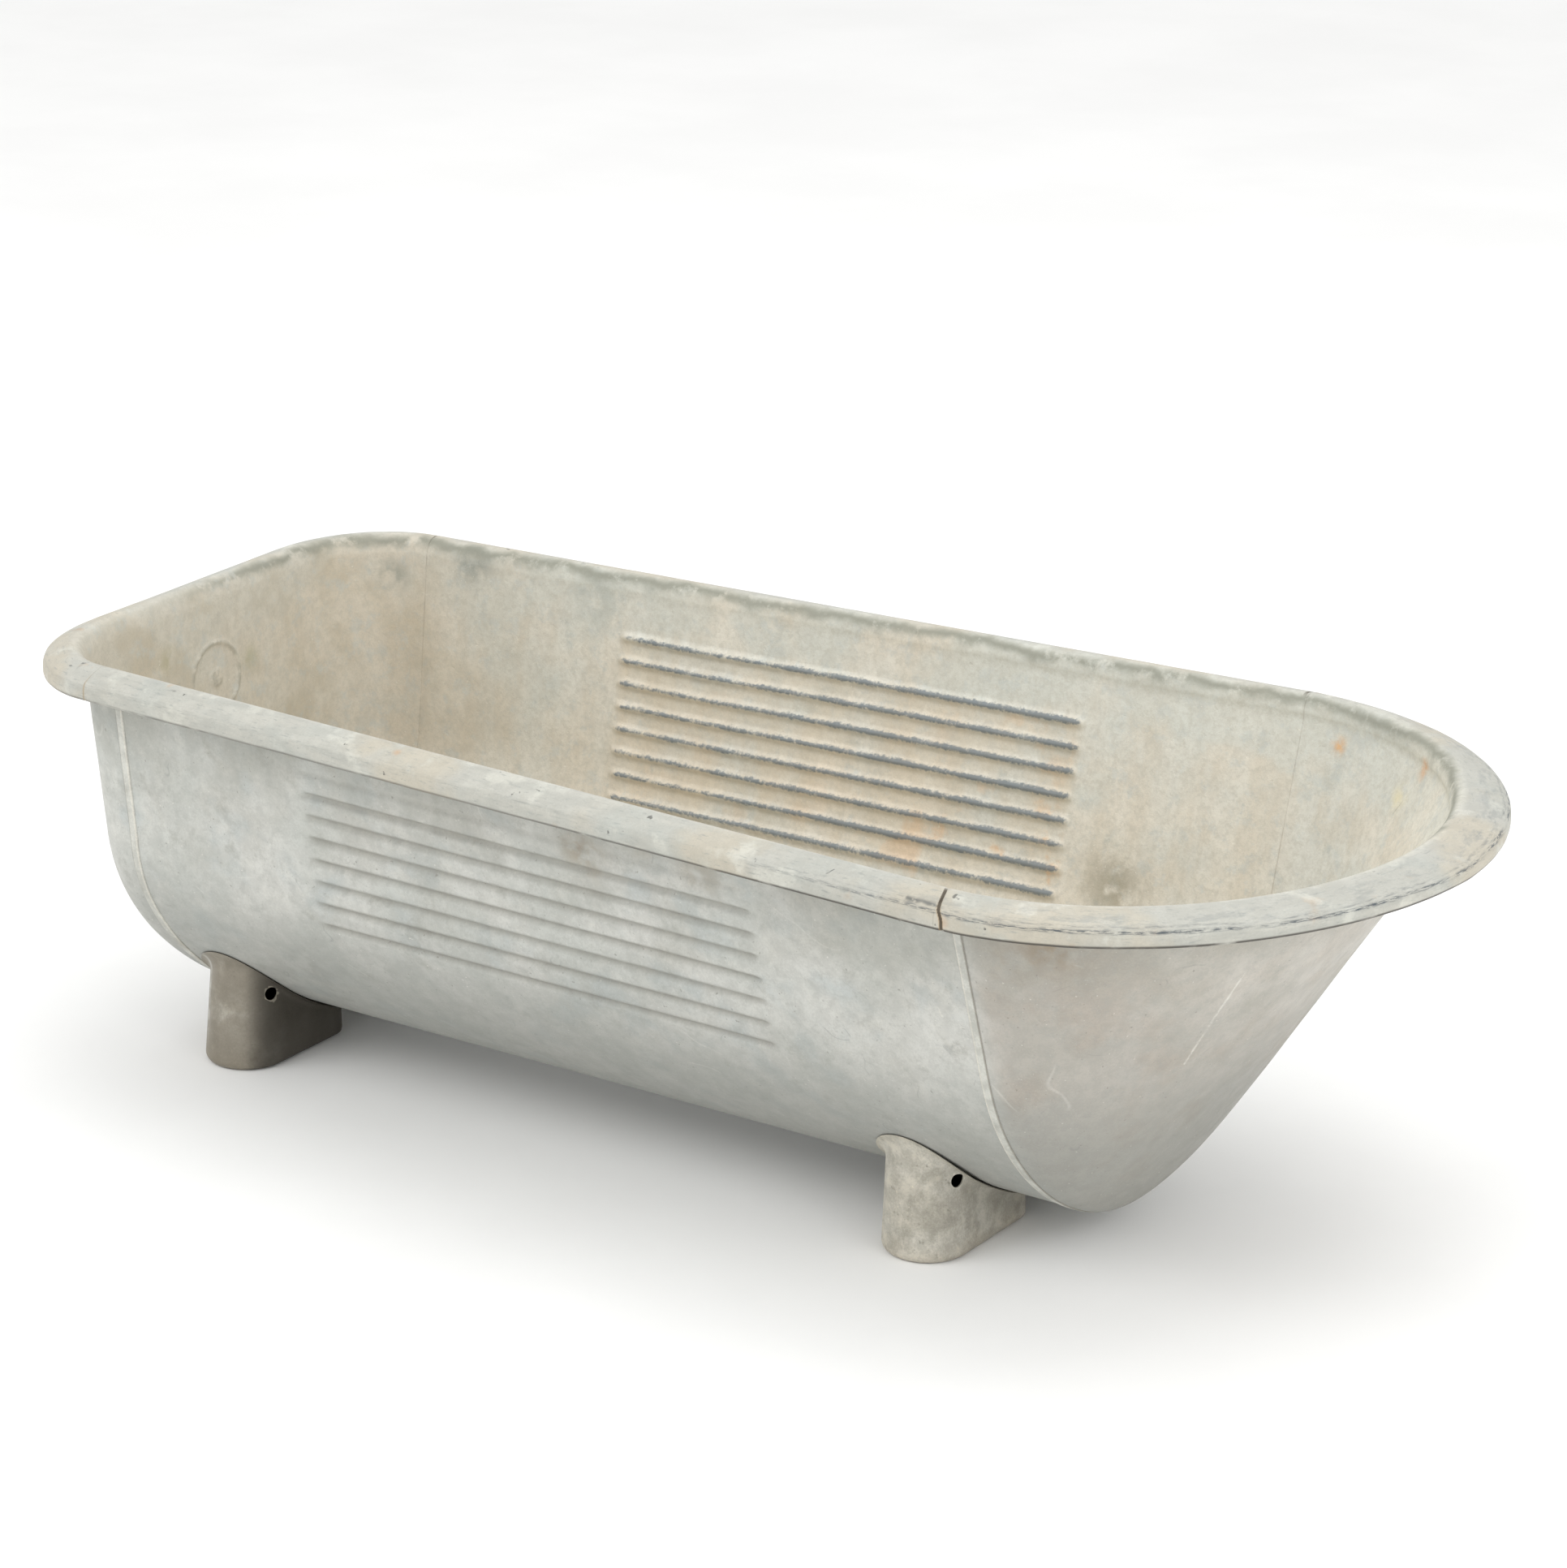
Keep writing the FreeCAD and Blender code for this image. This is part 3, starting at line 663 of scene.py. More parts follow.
class Paint:
    """Small helper that builds one node material; its calls return sockets."""

    def __init__(self, name):
        self.material = bpy.data.materials.new(name)
        self.material.use_nodes = True
        self.tree = self.material.node_tree
        self.shader = self.tree.nodes["Principled BSDF"]
        coords = self.tree.nodes.new("ShaderNodeTexCoord")
        self.place = coords.outputs["Object"]

    def feed(self, socket, value):
        if isinstance(value, bpy.types.NodeSocket):
            self.tree.links.new(value, socket)
        else:
            socket.default_value = value

    def attribute(self, name):
        node = self.tree.nodes.new("ShaderNodeAttribute")
        node.attribute_name = name
        return node.outputs["Fac"]

    def math(self, operation, a, b=0.0, clamp=False):
        node = self.tree.nodes.new("ShaderNodeMath")
        node.operation = operation
        node.use_clamp = clamp
        self.feed(node.inputs[0], a)
        self.feed(node.inputs[1], b)
        return node.outputs[0]

    def times(self, *values):
        total = values[0]
        for value in values[1:]:
            total = self.math("MULTIPLY", total, value)
        return total

    def step(self, value, low, high, start=0.0, end=1.0):
        """Smooth change from start to end as value goes from low to high."""
        node = self.tree.nodes.new("ShaderNodeMapRange")
        node.interpolation_type = "SMOOTHSTEP"
        self.feed(node.inputs["Value"], value)
        for key, number in (("From Min", low), ("From Max", high), ("To Min", start), ("To Max", end)):
            node.inputs[key].default_value = number
        return node.outputs[0]

    def band(self, value, centre, half):
        """1 at centre, falling to 0 at half away on both sides."""
        away = self.math("ABSOLUTE", self.math("SUBTRACT", value, centre))
        return self.step(away, 0.0, half, 1.0, 0.0)

    def vector(self, x, y, z):
        node = self.tree.nodes.new("ShaderNodeCombineXYZ")
        for socket, value in zip(node.inputs, (x, y, z)):
            self.feed(socket, value)
        return node.outputs[0]

    def stretch(self, vector, x, y, z):
        node = self.tree.nodes.new("ShaderNodeMapping")
        self.feed(node.inputs["Vector"], vector)
        node.inputs["Scale"].default_value = (x, y, z)
        return node.outputs[0]

    def noise(self, scale, detail=4.0, rough=0.55, vector=None, warp=0.0):
        node = self.tree.nodes.new("ShaderNodeTexNoise")
        self.feed(node.inputs["Vector"], vector or self.place)
        node.inputs["Scale"].default_value = scale
        node.inputs["Detail"].default_value = detail
        node.inputs["Roughness"].default_value = rough
        node.inputs["Distortion"].default_value = warp
        return node.outputs["Fac"]

    def patches(self, scale, low, high, **noise):
        return self.step(self.noise(scale, **noise), low, high)

    def blend(self, factor, a, b):
        node = self.tree.nodes.new("ShaderNodeMix")
        node.data_type = "RGBA"
        self.feed(node.inputs["Factor"], factor)
        self.feed(node.inputs["A"], a)
        self.feed(node.inputs["B"], b)
        return node.outputs["Result"]

    def coat(self, colour, cover, *factors):
        """The colour covered by a 0-255 colour where the product of the factors is 1."""
        return self.blend(self.times(*factors), colour, srgb(*cover))

    def near(self, place, radius):
        """1 at a place given in millimetres, 0 beyond radius."""
        node = self.tree.nodes.new("ShaderNodeVectorMath")
        node.operation = "DISTANCE"
        self.feed(node.inputs[0], self.place)
        node.inputs[1].default_value = Vector(place) * MM
        return self.step(node.outputs["Value"], 0.0, radius * MM, 1.0, 0.0)

    def vector_math(self, operation, a, b, output="Vector"):
        node = self.tree.nodes.new("ShaderNodeVectorMath")
        node.operation = operation
        self.feed(node.inputs[0], a)
        self.feed(node.inputs[1], b)
        return node.outputs[output]

    def stroke(self, start, end, half):
        """1 on the line between two places in millimetres, 0 beyond half away from it."""
        start, run = Vector(start) * MM, (Vector(end) - Vector(start)) * MM
        wander = self.noise(26.0, detail=3.0, rough=0.6)
        wander = self.times(self.math("SUBTRACT", wander, 0.5), 0.02)
        place = self.vector_math("ADD", self.place, self.vector(wander, 0.0, wander))
        away = self.vector_math("SUBTRACT", place, start)
        share = self.vector_math("DOT_PRODUCT", away, run / run.length_squared, "Value")
        share = self.math("ADD", share, 0.0, clamp=True)
        foot = self.vector_math("MULTIPLY", run, self.vector(share, share, share))
        gap = self.vector_math("DISTANCE", away, foot, "Value")
        return self.step(gap, 0.0, half * MM, 1.0, 0.0)

    def axes(self):
        node = self.tree.nodes.new("ShaderNodeSeparateXYZ")
        self.feed(node.inputs[0], self.place)
        return node.outputs

    def finish(self, colour, rough, height, depth, metallic=0.0, specular=0.4):
        bump_node = self.tree.nodes.new("ShaderNodeBump")
        bump_node.inputs["Strength"].default_value = 1.0
        bump_node.inputs["Distance"].default_value = depth
        self.feed(bump_node.inputs["Height"], height)
        self.feed(self.shader.inputs["Base Color"], colour)
        self.feed(self.shader.inputs["Roughness"], rough)
        self.feed(self.shader.inputs["Normal"], bump_node.outputs[0])
        self.shader.inputs["Metallic"].default_value = metallic
        self.shader.inputs["Specular IOR Level"].default_value = specular
        return self.material


def zinc_grain(p):
    """Fine grain and soft spangle of old hot-dip zinc, around 0.5."""
    grain = p.noise(420.0, detail=3.0, rough=0.7)
    spangle = p.noise(60.0, detail=5.0, rough=0.62)
    return p.math("ADD", p.times(grain, 0.45), p.times(spangle, 0.55))


def scratches(p, scale, seed, share):
    """Thin wandering lines where a smooth field crosses its middle value."""
    shifted = p.stretch(p.place, 1.0, 1.0, 1.0)
    shifted.node.inputs["Location"].default_value = (seed, seed * 0.7, seed * 0.3)
    line = p.band(p.noise(scale, detail=1.5, rough=0.4, vector=shifted), 0.5, 0.006)
    keep = p.patches(scale * 1.7, share, share + 0.06, detail=2.0, vector=shifted)
    return p.times(line, keep)


def outside_colour(p, grain):
    """Grey zinc, browner on the sloping end, with painted shade darker towards the keel."""
    x, _, z = p.axes()
    colour = p.blend(p.patches(9.0, 0.35, 0.65), srgb(190, 192, 186), srgb(202, 202, 196))
    colour = p.coat(colour, (176, 183, 182), p.patches(16.0, 0.5, 0.68, detail=6.0), 0.55)
    colour = p.coat(colour, (213, 212, 204), p.patches(34.0, 0.52, 0.7, detail=6.0), 0.4)
    colour = p.coat(colour, (156, 155, 146), p.patches(26.0, 0.55, 0.72, detail=7.0, rough=0.7), 0.5)
    front = p.step(x, 0.42, 0.46)
    colour = p.coat(colour, (170, 163, 153), front, 0.7)
    brown = p.times(front, p.patches(12.0, 0.48, 0.64, detail=5.0), 0.5)
    colour = p.coat(colour, (172, 161, 148), brown)
    tip = p.times(p.step(x, 0.52, 0.66), p.step(z, 0.20, 0.42))
    colour = p.coat(colour, (212, 208, 199), tip, 0.55)
    # painted shade: the hull darkens towards the keel, less at the upright end
    low = p.step(p.math("ADD", z, p.times(p.noise(9.0), 0.06)), 0.33, 0.17)
    colour = p.coat(colour, (146, 147, 141), low, p.step(x, -0.62, -0.40, 0.75, 1.0), 0.62)
    # darker band on the outer wall just under the rim, with a ragged lower edge
    lap = p.attribute("lap")
    under_rim_edge = p.math("ADD", lap, p.times(p.noise(11.0, detail=5.0), -1.1))
    under_rim_band = p.step(under_rim_edge, 1.10, 0.60)
    colour = p.coat(colour, (152, 150, 139), under_rim_band, 0.5)
    for place, size, depth in OUTSIDE_STAINS:
        stain = p.times(p.near(place, size), p.patches(42.0, 0.36, 0.62, detail=5.0), depth)
        colour = p.coat(colour, (148, 133, 110), stain)
    stain = p.times(p.patches(15.0, 0.58, 0.72, detail=5.0), p.step(z, 0.38, 0.45))
    colour = p.coat(colour, (154, 142, 120), stain, 0.4)
    for start, end, half, strength in OUTSIDE_CREASES:
        line = p.times(p.stroke(start, end, half), p.patches(30.0, 0.34, 0.52), strength)
        colour = p.coat(colour, (224, 222, 213), line)
    colour = p.coat(colour, (222, 221, 213), scratches(p, 7.0, 3.0, 0.58), 0.25)
    colour = p.coat(colour, (132, 134, 132), scratches(p, 15.0, 9.0, 0.6), 0.4)
    mottle = p.patches(90.0, 0.48, 0.64, detail=5.0, rough=0.7)
    colour = p.coat(colour, (160, 161, 155), mottle, 0.26)
    speck = p.patches(260.0, 0.70, 0.78, detail=2.0)
    colour = p.coat(colour, (230, 228, 220), speck, 0.5)
    fleck = p.patches(210.0, 0.72, 0.8, detail=1.0, vector=p.stretch(p.place, 1.0, 1.2, 0.9))
    colour = p.coat(colour, (120, 117, 109), fleck, 0.5)
    groove = p.attribute("groove")
    colour = p.coat(colour, (128, 124, 113), groove, 0.5)
    return p.coat(colour, (118, 118, 113), p.step(grain, 0.42, 0.6, 0.16, 0.0))


def inside_colour(p, grain):
    """Lime-white zinc with rust bands between the ribs and worn ridge lines, with painted shade below
    each ridge and towards the upright end.
    """
    x, _, z = p.axes()
    colour = p.blend(p.patches(7.0, 0.38, 0.62, detail=3.0), srgb(220, 214, 200), srgb(213, 212, 202))
    streak_place = p.stretch(p.place, 30.0, 30.0, 4.0)
    streak = p.patches(1.0, 0.42, 0.66, detail=6.0, vector=streak_place)
    colour = p.coat(colour, (202, 191, 171), streak, 0.42)
    grey = p.math("ADD", p.noise(10.0, detail=6.0), p.step(z, 0.36, 0.45, -0.06, 0.16))
    colour = p.coat(colour, (203, 206, 198), p.step(grey, 0.5, 0.64), 0.62)
    worn = p.patches(20.0, 0.60, 0.70, detail=8.0, rough=0.68)
    colour = p.coat(colour, (172, 178, 174), worn, 0.5)
    # painted shade: the inside darkens towards the upright end; the tan patches there are stains
    rear = p.step(x, -0.45, -0.72)
    colour = p.coat(colour, (203, 193, 176), rear, 0.5)
    tan = p.times(rear, p.patches(11.0, 0.46, 0.64, detail=5.0), 0.5)
    colour = p.coat(colour, (184, 173, 150), tan)
    front = p.step(x, 0.50, 0.72)
    colour = p.coat(colour, (228, 224, 208), front, 0.5)
    bed = p.step(z, 0.16, 0.05)
    colour = p.coat(colour, (170, 158, 132), bed, 0.6)
    mottle = p.patches(150.0, 0.44, 0.62, detail=4.0, rough=0.7)
    colour = p.coat(colour, (184, 181, 168), mottle, 0.34)
    mottle = p.patches(46.0, 0.52, 0.66, detail=6.0, rough=0.7)
    colour = p.coat(colour, (190, 195, 191), mottle, 0.46)
    # painted shade below each ridge, broken into patches
    darkened = p.times(p.attribute("below"), p.patches(60.0, 0.28, 0.6, detail=5.0), 0.55)
    colour = p.coat(colour, (166, 161, 146), darkened)
    ribbed = p.attribute("ribbed")
    tan_band = p.times(ribbed, p.patches(16.0, 0.36, 0.62, detail=4.0))
    colour = p.coat(colour, (222, 204, 176), tan_band, 0.32)
    orange = p.times(ribbed, p.patches(18.0, 0.54, 0.66, detail=4.0), p.step(x, -0.1, 0.16, 0.12, 1.0),
                     p.step(z, 0.36, 0.24, 0.25, 1.0))
    colour = p.coat(colour, (222, 174, 118), orange, 0.85)
    for place, size, depth, stain_colour in INSIDE_STAINS:
        stain = p.times(p.near(place, size), p.patches(48.0, 0.32, 0.58, detail=5.0), depth)
        colour = p.coat(colour, stain_colour, stain)
    for start, end, half, strength in INSIDE_SCRATCHES:
        line = p.times(p.stroke(start, end, half), strength)
        colour = p.coat(colour, (128, 124, 112), line)
    for seam in (REAR_SEAM, FRONT_SEAM):
        line = p.times(p.band(x, seam * MM, 0.0016), p.patches(40.0, 0.40, 0.62))
        colour = p.coat(colour, (150, 138, 120), line, 0.22)
    speck = p.patches(300.0, 0.68, 0.78, detail=2.0)
    colour = p.coat(colour, (236, 232, 220), speck, 0.5)
    crest = p.attribute("crest")
    crest_noise = p.times(p.math("SUBTRACT", p.noise(230.0, detail=6.0, rough=0.8), 0.5), 2.1)
    crest_patch = p.times(p.math("SUBTRACT", p.noise(30.0, detail=4.0), 0.5), 0.9)
    thick = p.step(x, -0.38, 0.1, -0.22, 0.02)
    worn_edge = p.math("ADD", p.math("ADD", crest, crest_noise), p.math("ADD", crest_patch, thick))
    worn_line = p.times(p.step(worn_edge, 0.30, 0.84), p.step(crest, 0.06, 0.36))
    colour = p.coat(colour, (104, 115, 122), worn_line, 0.86)
    mark = p.attribute("mark")
    colour = p.coat(colour, (150, 148, 134), mark, p.patches(90.0, 0.36, 0.56), 0.6)
    return p.coat(colour, (128, 120, 104), p.step(grain, 0.42, 0.6, 0.12, 0.0))


def rim_colour(p, grain):
    """Scuffed rim with broken dark lines along its inner shoulder."""
    x = p.axes()[0]
    along, lap = p.attribute("along"), p.attribute("lap")
    flow = p.vector(p.times(along, 22.0), p.times(lap, 9.0), 0.0)
    fine_flow = p.vector(p.times(along, 70.0), p.times(lap, 34.0), 0.0)
    base = p.patches(1.0, 0.4, 0.62, vector=flow, detail=5.0)
    colour = p.blend(base, srgb(179, 179, 171), srgb(188, 187, 178))
    colour = p.coat(colour, (191, 182, 163), p.patches(6.0, 0.48, 0.62, detail=4.0), 0.6)
    colour = p.coat(colour, (174, 178, 172), p.patches(13.0, 0.5, 0.66, detail=6.0), 0.5)
    pale = p.patches(26.0, 0.56, 0.68, detail=5.0)
    colour = p.coat(colour, (212, 211, 200), pale, 0.5)
    streak = p.patches(1.0, 0.54, 0.68, vector=fine_flow, detail=6.0, rough=0.7)
    colour = p.coat(colour, (146, 150, 146), streak, 0.6)
    front = p.step(x, 0.05, 0.62, 0.10, 1.0)
    smudge = p.times(p.patches(1.0, 0.46, 0.62, vector=flow, detail=7.0, rough=0.72), front,
                     p.band(lap, 0.80, 0.22))
    colour = p.coat(colour, (128, 134, 134), smudge, 0.45)
    wander = p.times(p.math("SUBTRACT", p.noise(7.0, detail=3.0), 0.5), 0.16)
    ridge = p.math("ADD", lap, wander)
    broken = p.patches(1.0, 0.44, 0.56, vector=fine_flow, detail=7.0, rough=0.75)
    broken = p.times(broken, p.patches(9.0, 0.36, 0.52, detail=5.0))
    for height, half, strength in ((0.66, 0.060, 1.0), (0.735, 0.024, 0.4)):
        line = p.times(p.band(ridge, height, half), broken, front)
        colour = p.coat(colour, (74, 82, 88), line, strength)
    for start, end, half, strength in RIM_MARKS:
        line = p.times(p.stroke(start, end, half), p.patches(150.0, 0.26, 0.5), strength)
        colour = p.coat(colour, (84, 88, 88), line)
    for place, size in RIM_RUST:
        spot = p.times(p.near(place, size), p.patches(80.0, 0.3, 0.55), 0.8)
        colour = p.coat(colour, (196, 146, 96), spot)
    nick = p.patches(60.0, 0.71, 0.75, detail=3.0)
    colour = p.coat(colour, (88, 88, 84), nick, 0.8)
    rust = p.times(p.patches(18.0, 0.66, 0.76, detail=5.0), p.step(x, -0.3, -0.6, 0.5, 1.0))
    colour = p.coat(colour, (184, 152, 118), rust, 0.6)
    shade = p.times(p.step(lap, 0.49, 0.42), p.patches(20.0, 0.26, 0.48), p.step(x, -0.2, 0.4, 0.6, 1.0))
    colour = p.coat(colour, (58, 54, 48), shade, 0.92)
    joint = p.step(p.attribute("joint"), 0.25, 0.75)
    beside = p.times(p.step(p.attribute("joint"), 0.01, 0.3), p.step(lap, 0.9, 0.6), 0.5)
    colour = p.coat(colour, (176, 150, 108), beside)
    colour = p.coat(colour, (70, 60, 46), joint, 0.94)
    return p.coat(colour, (118, 114, 104), p.step(grain, 0.42, 0.6, 0.12, 0.0))


# marks, places in millimetres: stains (place, radius, depth[, colour]),
# lines (start, end, half width, strength), rust spots (place, radius)
OUTSIDE_STAINS = [((-28.0, -296.0, 402.0), 46.0, 0.7), ((521.0, -309.0, 424.0), 52.0, 0.75),
                  ((470.0, -300.0, 405.0), 46.0, 0.45), ((120.0, -300.0, 415.0), 50.0, 0.4)]
OUTSIDE_CREASES = [((352.0, -308.0, 392.0), (374.0, -300.0, 352.0), 2.2, 0.55),
                   ((374.0, -300.0, 352.0), (391.0, -293.0, 318.0), 2.0, 0.5),
                   ((651.0, -162.0, 385.0), (579.0, -153.0, 265.0), 2.6, 0.7),
                   ((414.0, -287.0, 298.0), (549.0, -274.0, 374.0), 1.8, 0.5),
                   ((300.0, -262.0, 215.0), (345.0, -235.0, 165.0), 2.4, 0.5)]
INSIDE_STAINS = [((-600.0, 281.0, 457.0), 40.0, 0.85, (140, 146, 140)),
                 ((-700.0, 259.0, 430.0), 30.0, 0.75, (150, 152, 142)),
                 ((-430.0, 285.0, 440.0), 60.0, 0.6, (172, 178, 172)),
                 ((-757.0, -75.0, 406.0), 26.0, 0.6, (172, 166, 134)),
                 ((-755.0, 61.0, 374.0), 24.0, 0.6, (172, 168, 138)),
                 ((250.0, 266.0, 245.0), 62.0, 0.7, (142, 134, 112)),
                 ((482.0, 326.0, 432.0), 15.0, 0.9, (224, 172, 112)),
                 ((612.0, 267.0, 448.0), 17.0, 0.95, (220, 158, 92)),
                 ((583.0, 269.0, 411.0), 24.0, 0.6, (226, 214, 172)),
                 ((-380.0, 285.0, 330.0), 10.0, 0.7, (226, 176, 110)),
                 ((-345.0, 285.0, 322.0), 7.0, 0.7, (222, 168, 104))]
INSIDE_SCRATCHES = [((-596.0, 273.0, 425.0), (-580.0, 273.0, 413.0), 1.6, 0.6),
                    ((-580.0, 273.0, 413.0), (-562.0, 271.0, 396.0), 1.6, 0.6),
                    ((600.0, 262.0, 430.0), (578.0, 262.0, 395.0), 1.4, 0.35)]
RIM_MARKS = [((398.0, -371.0, 464.0), (428.0, -373.0, 464.0), 4.5, 0.8),
             ((303.0, -367.0, 467.0), (309.0, -357.0, 471.0), 1.4, 0.9),
             ((-557.0, -300.0, 470.0), (-552.0, -301.0, 470.0), 3.5, 0.9),
             ((-690.0, -288.0, 472.0), (-684.0, -285.0, 472.0), 3.6, 0.9),
             ((-688.0, -292.0, 472.0), (-692.0, -306.0, 458.0), 2.6, 0.35),
             ((-716.0, -300.0, 470.0), (-711.0, -300.0, 470.0), 3.4, 0.6)]
RIM_RUST = [((-240.0, -322.0, 468.0), 8.0), ((445.0, -372.0, 452.0), 12.0)]


def tub_material():
    """Weathered zinc: grey outside, lime and rust inside, pale scuffed rim."""
    p = Paint("weathered_tub_zinc")
    grain = zinc_grain(p)
    inside = p.attribute("inside")
    lap = p.attribute("lap")
    wall = p.blend(p.step(inside, 0.3, 0.7), outside_colour(p, grain), inside_colour(p, grain))
    edge = p.math("ADD", lap, p.times(p.noise(30.0, detail=5.0), 0.16))
    on_rim = p.times(p.step(edge, 1.2, 1.02), inside)
    colour = p.blend(on_rim, wall, rim_colour(p, grain))
    y = p.axes()[1]
    band_edge = p.math("ADD", lap, p.times(p.math("SUBTRACT", p.noise(24.0, detail=6.0), 0.5), 0.24))
    under_rim = p.times(p.band(band_edge, 1.10, 0.12), p.step(y, -0.1, 0.1, 0.25, 1.0), inside,
                        p.patches(30.0, 0.32, 0.50, detail=6.0, rough=0.65))
    colour = p.coat(colour, (132, 133, 120), under_rim, 0.85)
    rough = p.step(p.noise(24.0, detail=5.0), 0.3, 0.7, 0.46, 0.68)
    pits = p.patches(130.0, 0.62, 0.8, detail=4.0)
    height = p.math("ADD", p.times(grain, 0.5), p.times(pits, -0.25))
    height = p.math("ADD", height, p.times(p.noise(26.0, detail=3.0), 1.1))
    return p.finish(colour, rough, height, 0.0009, metallic=0.1)


def seam_material():
    p = Paint("folded_seam_zinc")
    grain = zinc_grain(p)
    across = p.attribute("across")
    colour = p.blend(p.patches(30.0, 0.4, 0.6, detail=5.0), srgb(192, 192, 184), srgb(204, 204, 196))
    # painted shadow: a dark line along the edge of the seam strip next to the seam
    colour = p.coat(colour, (122, 116, 104), p.band(across, 0.6, 1.6), 0.7)
    # painted highlight: a pale line along the strip's other edge
    colour = p.coat(colour, (224, 220, 208), p.band(across, 9.4, 1.8), 0.7)
    colour = p.coat(colour, (160, 156, 144), p.patches(45.0, 0.55, 0.7), 0.4)
    colour = p.coat(colour, (110, 110, 104), p.step(grain, 0.42, 0.6, 0.2, 0.0))
    return p.finish(colour, 0.58, grain, 0.0006, metallic=0.1)


def foot_material():
    """Darker, browner zinc with worn edges, painted shade on the sides facing +X and inside the hollow,
    and a painted highlight on the rear feet.
    """
    p = Paint("weathered_foot_zinc")
    x, _, z = p.axes()
    grain = zinc_grain(p)
    colour = p.blend(p.patches(18.0, 0.35, 0.65, detail=5.0), srgb(184, 179, 166), srgb(204, 200, 188))
    colour = p.coat(colour, (160, 156, 143), p.patches(34.0, 0.48, 0.64, detail=6.0), 0.6)
    colour = p.coat(colour, (206, 200, 184), p.patches(60.0, 0.55, 0.7, detail=6.0), 0.5)
    colour = p.coat(colour, (106, 102, 90), p.patches(110.0, 0.64, 0.74, detail=3.0), 0.5)
    low = p.step(p.math("ADD", z, p.times(p.noise(40.0, detail=4.0), 0.03)), 0.045, 0.012)
    colour = p.coat(colour, (196, 186, 168), low, 0.45)
    speck = p.patches(240.0, 0.68, 0.76, detail=2.0)
    colour = p.coat(colour, (216, 208, 188), speck, 0.6)
    rise = p.attribute("rise")
    colour = p.coat(colour, (200, 194, 178), p.step(rise, 0.86, 0.97), 0.6)
    colour = p.coat(colour, (96, 94, 84), p.step(grain, 0.40, 0.6, 0.3, 0.0))
    rear = p.step(x, 0.0, -0.3)
    flank = p.attribute("flank")
    # darker patches on the rear feet
    darkened = p.times(rear, p.patches(22.0, 0.1, 0.5, detail=5.0), 0.72)
    colour = p.coat(colour, (116, 108, 94), darkened)
    # painted shade on the sides facing +X, strongest on the rear feet
    painted_shade_side = p.times(p.step(flank, 0.45, 0.95), p.math("ADD", p.times(rear, 0.62), 0.22))
    colour = p.coat(colour, (52, 48, 41), painted_shade_side)
    # painted highlight: a pale vertical line on the rear feet
    painted_sheen = p.times(rear, p.band(flank, -0.62, 0.10), p.step(z, 0.02, 0.05), p.patches(60.0, 0.35, 0.55))
    colour = p.coat(colour, (206, 206, 200), painted_sheen, 0.5)
    # painted shade: the inner skin, seen through the vent holes, is near black
    skin = p.attribute("skin")
    colour = p.coat(colour, (50, 45, 38), skin, 0.9)
    rough = p.step(p.noise(30.0, detail=4.0), 0.3, 0.7, 0.42, 0.62)
    height = p.math("ADD", p.times(grain, 0.6), p.noise(45.0, detail=3.0))
    return p.finish(colour, rough, height, 0.0008, metallic=0.15)


def wire_material():
    p = Paint("rim_wire_iron")
    rust = p.patches(80.0, 0.4, 0.6, detail=5.0)
    colour = p.blend(rust, srgb(92, 84, 76), srgb(120, 82, 54))
    return p.finish(colour, 0.7, p.noise(300.0), 0.0004, metallic=0.3)


# ---- scene ----------------------------------------------------------------
def build_bath():
    tub = tub_material()
    pieces = [
        (body_piece(tub), ["body_sheet"], "tub_sheet"),
        (end_piece("bath_upright_end", upright_plan, UPRIGHT_SIDE, UPRIGHT_END,
                   (RIM_UPRIGHT_SEAM, RIM_UPRIGHT_END), -1, REAR_SEAM, tub, True),
         ["upright_end_panel"], "tub_sheet"),
        (end_piece("bath_sloping_end", sloping_plan, SLOPING_SIDE, SLOPING_END,
                   (RIM_SLOPING_SEAM, RIM_SLOPING_TIP), 1, FRONT_SEAM, tub, False),
         ["sloping_end_panel"], "tub_sheet"),
    ]
    seam = seam_material()
    pieces.append((seam_piece("bath_rear_seam", REAR_SEAM, 1, seam), ["upright_end_seam"], "seam"))
    pieces.append((seam_piece("bath_front_seam", FRONT_SEAM, -1, seam), ["sloping_end_seam"], "seam"))
    foot = foot_material()
    for place in ("near_rear", "far_rear", "near_front", "far_front"):
        node = "foot_" + place
        pieces.append((foot_piece(node + "_piece", node, foot), [node], "foot_sheet"))
    for piece, nodes, slot in pieces:
        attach(piece, "root")
        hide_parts(*nodes)
    wire = wire_material()
    for name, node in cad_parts.items():
        if name.startswith("rim_wire"):
            node.data.materials.clear()
            node.data.materials.append(wire)


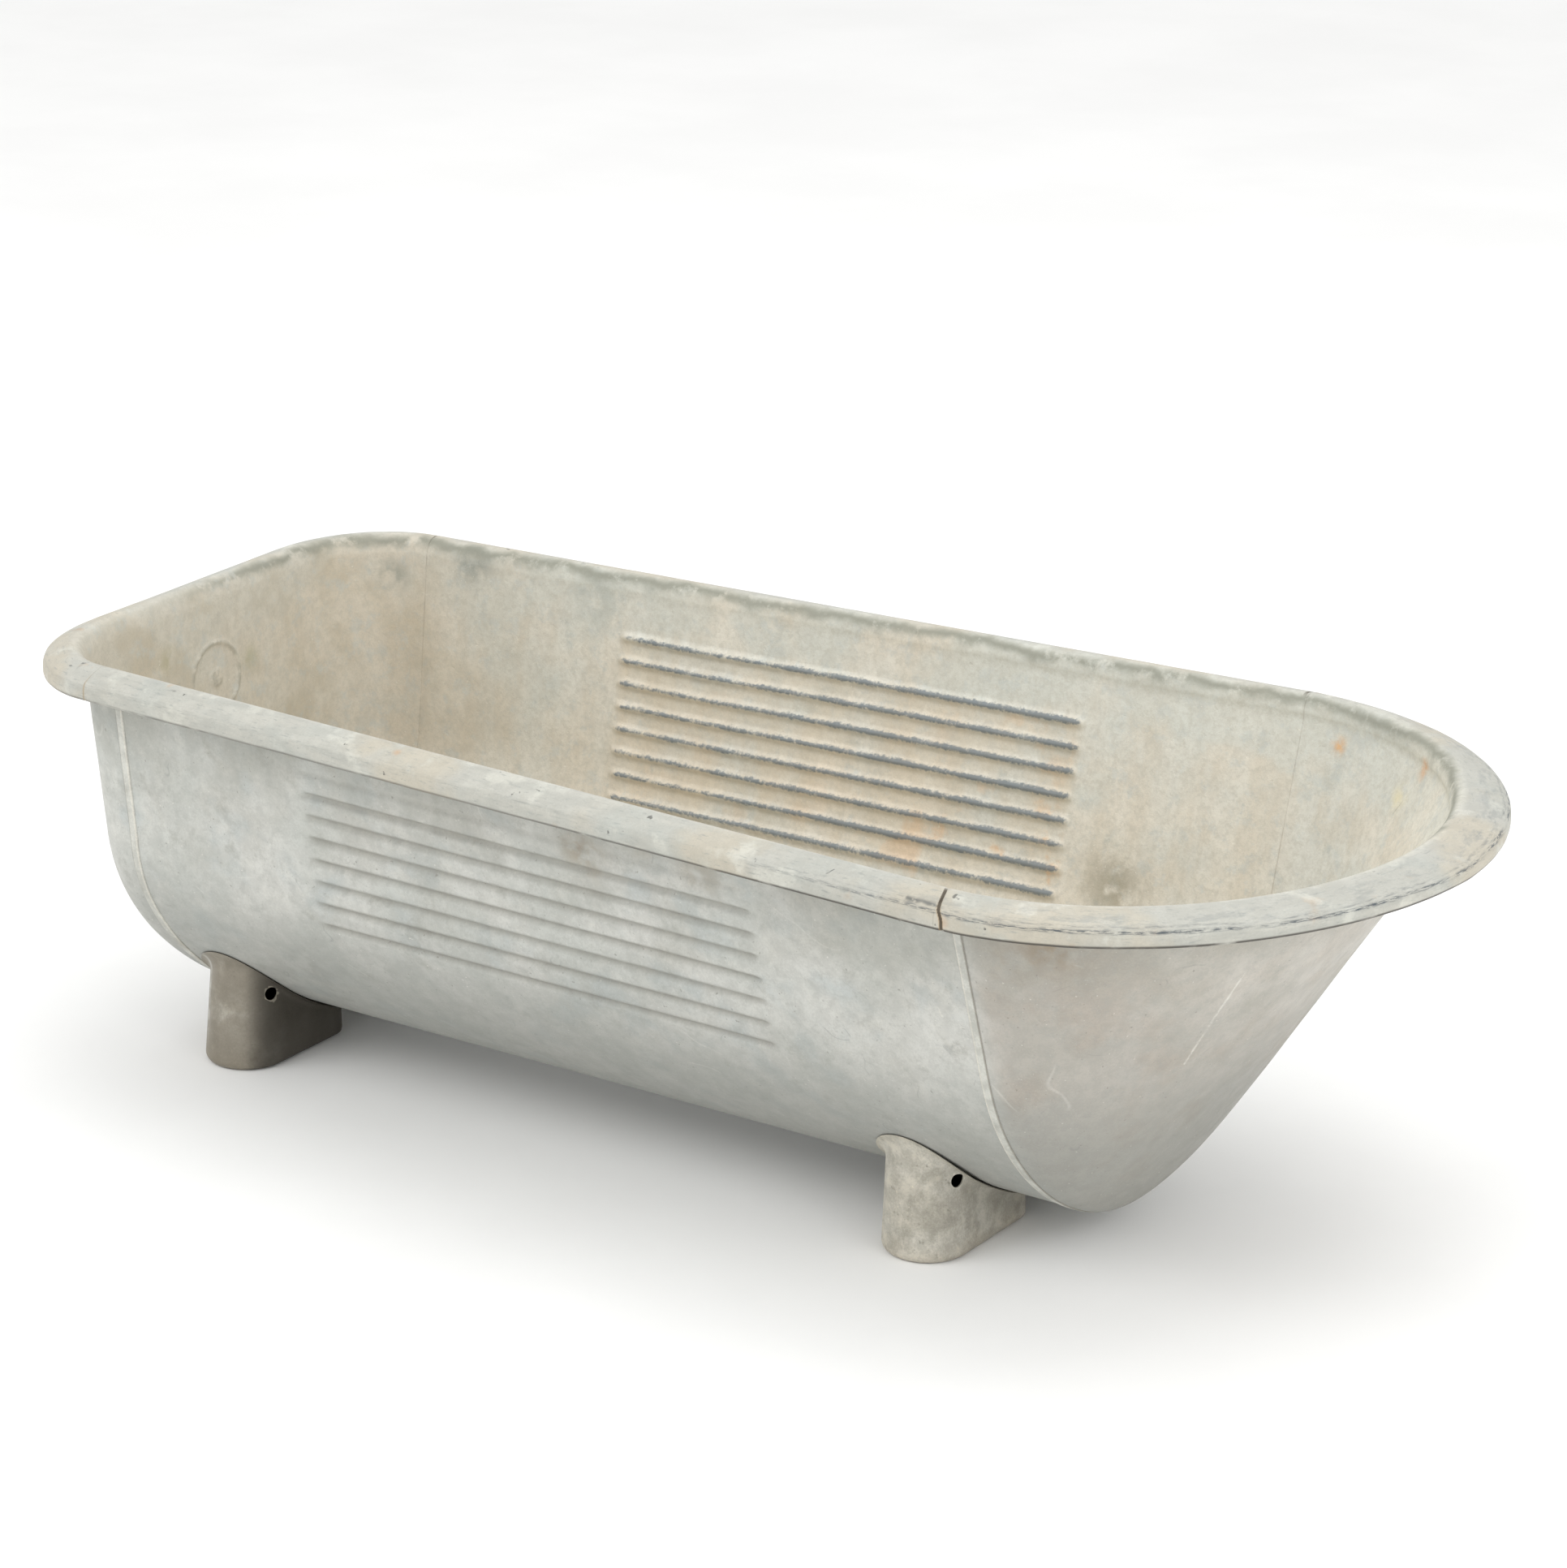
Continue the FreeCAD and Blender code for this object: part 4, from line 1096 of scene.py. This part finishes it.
def floor_material():
    p = Paint("pale_floor")
    colour = p.blend(p.patches(2.0, 0.3, 0.7), srgb(244, 244, 243), srgb(248, 248, 247))
    return p.finish(colour, 0.9, p.noise(200.0), 0.0001, specular=0.1)


def build_floor():
    bpy.ops.mesh.primitive_plane_add(size=60.0, location=(0, 0, CAD_BOX[0].z))
    floor = bpy.context.object
    floor.name = "studio_floor"
    floor.data.materials.append(floor_material())


def soft_light(name, place, aim, size, power):
    data = bpy.data.lights.new(name, "AREA")
    data.shape = "RECTANGLE"
    data.size, data.size_y = size
    data.energy = power
    light = bpy.data.objects.new(name, data)
    bpy.context.scene.collection.objects.link(light)
    light.location = place
    light.rotation_mode = "QUATERNION"
    light.rotation_quaternion = (Vector(aim) - Vector(place)).to_track_quat("-Z", "Y")


def build_light():
    world = bpy.data.worlds.new("studio_world")
    bpy.context.scene.world = world
    world.use_nodes = True
    world.node_tree.nodes["Background"].inputs["Color"].default_value = (1.0, 1.0, 1.0, 1.0)
    world.node_tree.nodes["Background"].inputs["Strength"].default_value = 0.95
    soft_light("key", (-2.2, -3.4, 3.6), (0, 0, 0.2), (3.5, 2.5), 60.0)
    soft_light("top", (0.3, 0.6, 4.2), (0, 0, 0.2), (4.0, 3.0), 60.0)
    soft_light("side", (3.4, -0.8, 1.6), (0.4, 0, 0.3), (2.5, 2.0), 26.0)


# camera in metres and degrees
CAMERA_FROM = (2.889, -4.259, 2.208)
CAMERA_HEADING = 34.056
CAMERA_DROP = 19.448
CAMERA_LENS = 121.23


def build_camera():
    data = bpy.data.cameras.new("camera")
    data.lens = CAMERA_LENS
    data.sensor_width = 36.0
    data.clip_end = 100.0
    camera = bpy.data.objects.new("camera", data)
    bpy.context.scene.collection.objects.link(camera)
    camera.location = CAMERA_FROM
    heading, drop = math.radians(CAMERA_HEADING), math.radians(CAMERA_DROP)
    back = Vector((math.sin(heading) * math.cos(drop), -math.cos(heading) * math.cos(drop),
                   math.sin(drop)))
    camera.rotation_mode = "QUATERNION"
    camera.rotation_quaternion = (-back).to_track_quat("-Z", "Y")
    bpy.context.scene.camera = camera


build_bath()
build_floor()
build_light()
build_camera()
bpy.context.scene.view_settings.view_transform = "Standard"
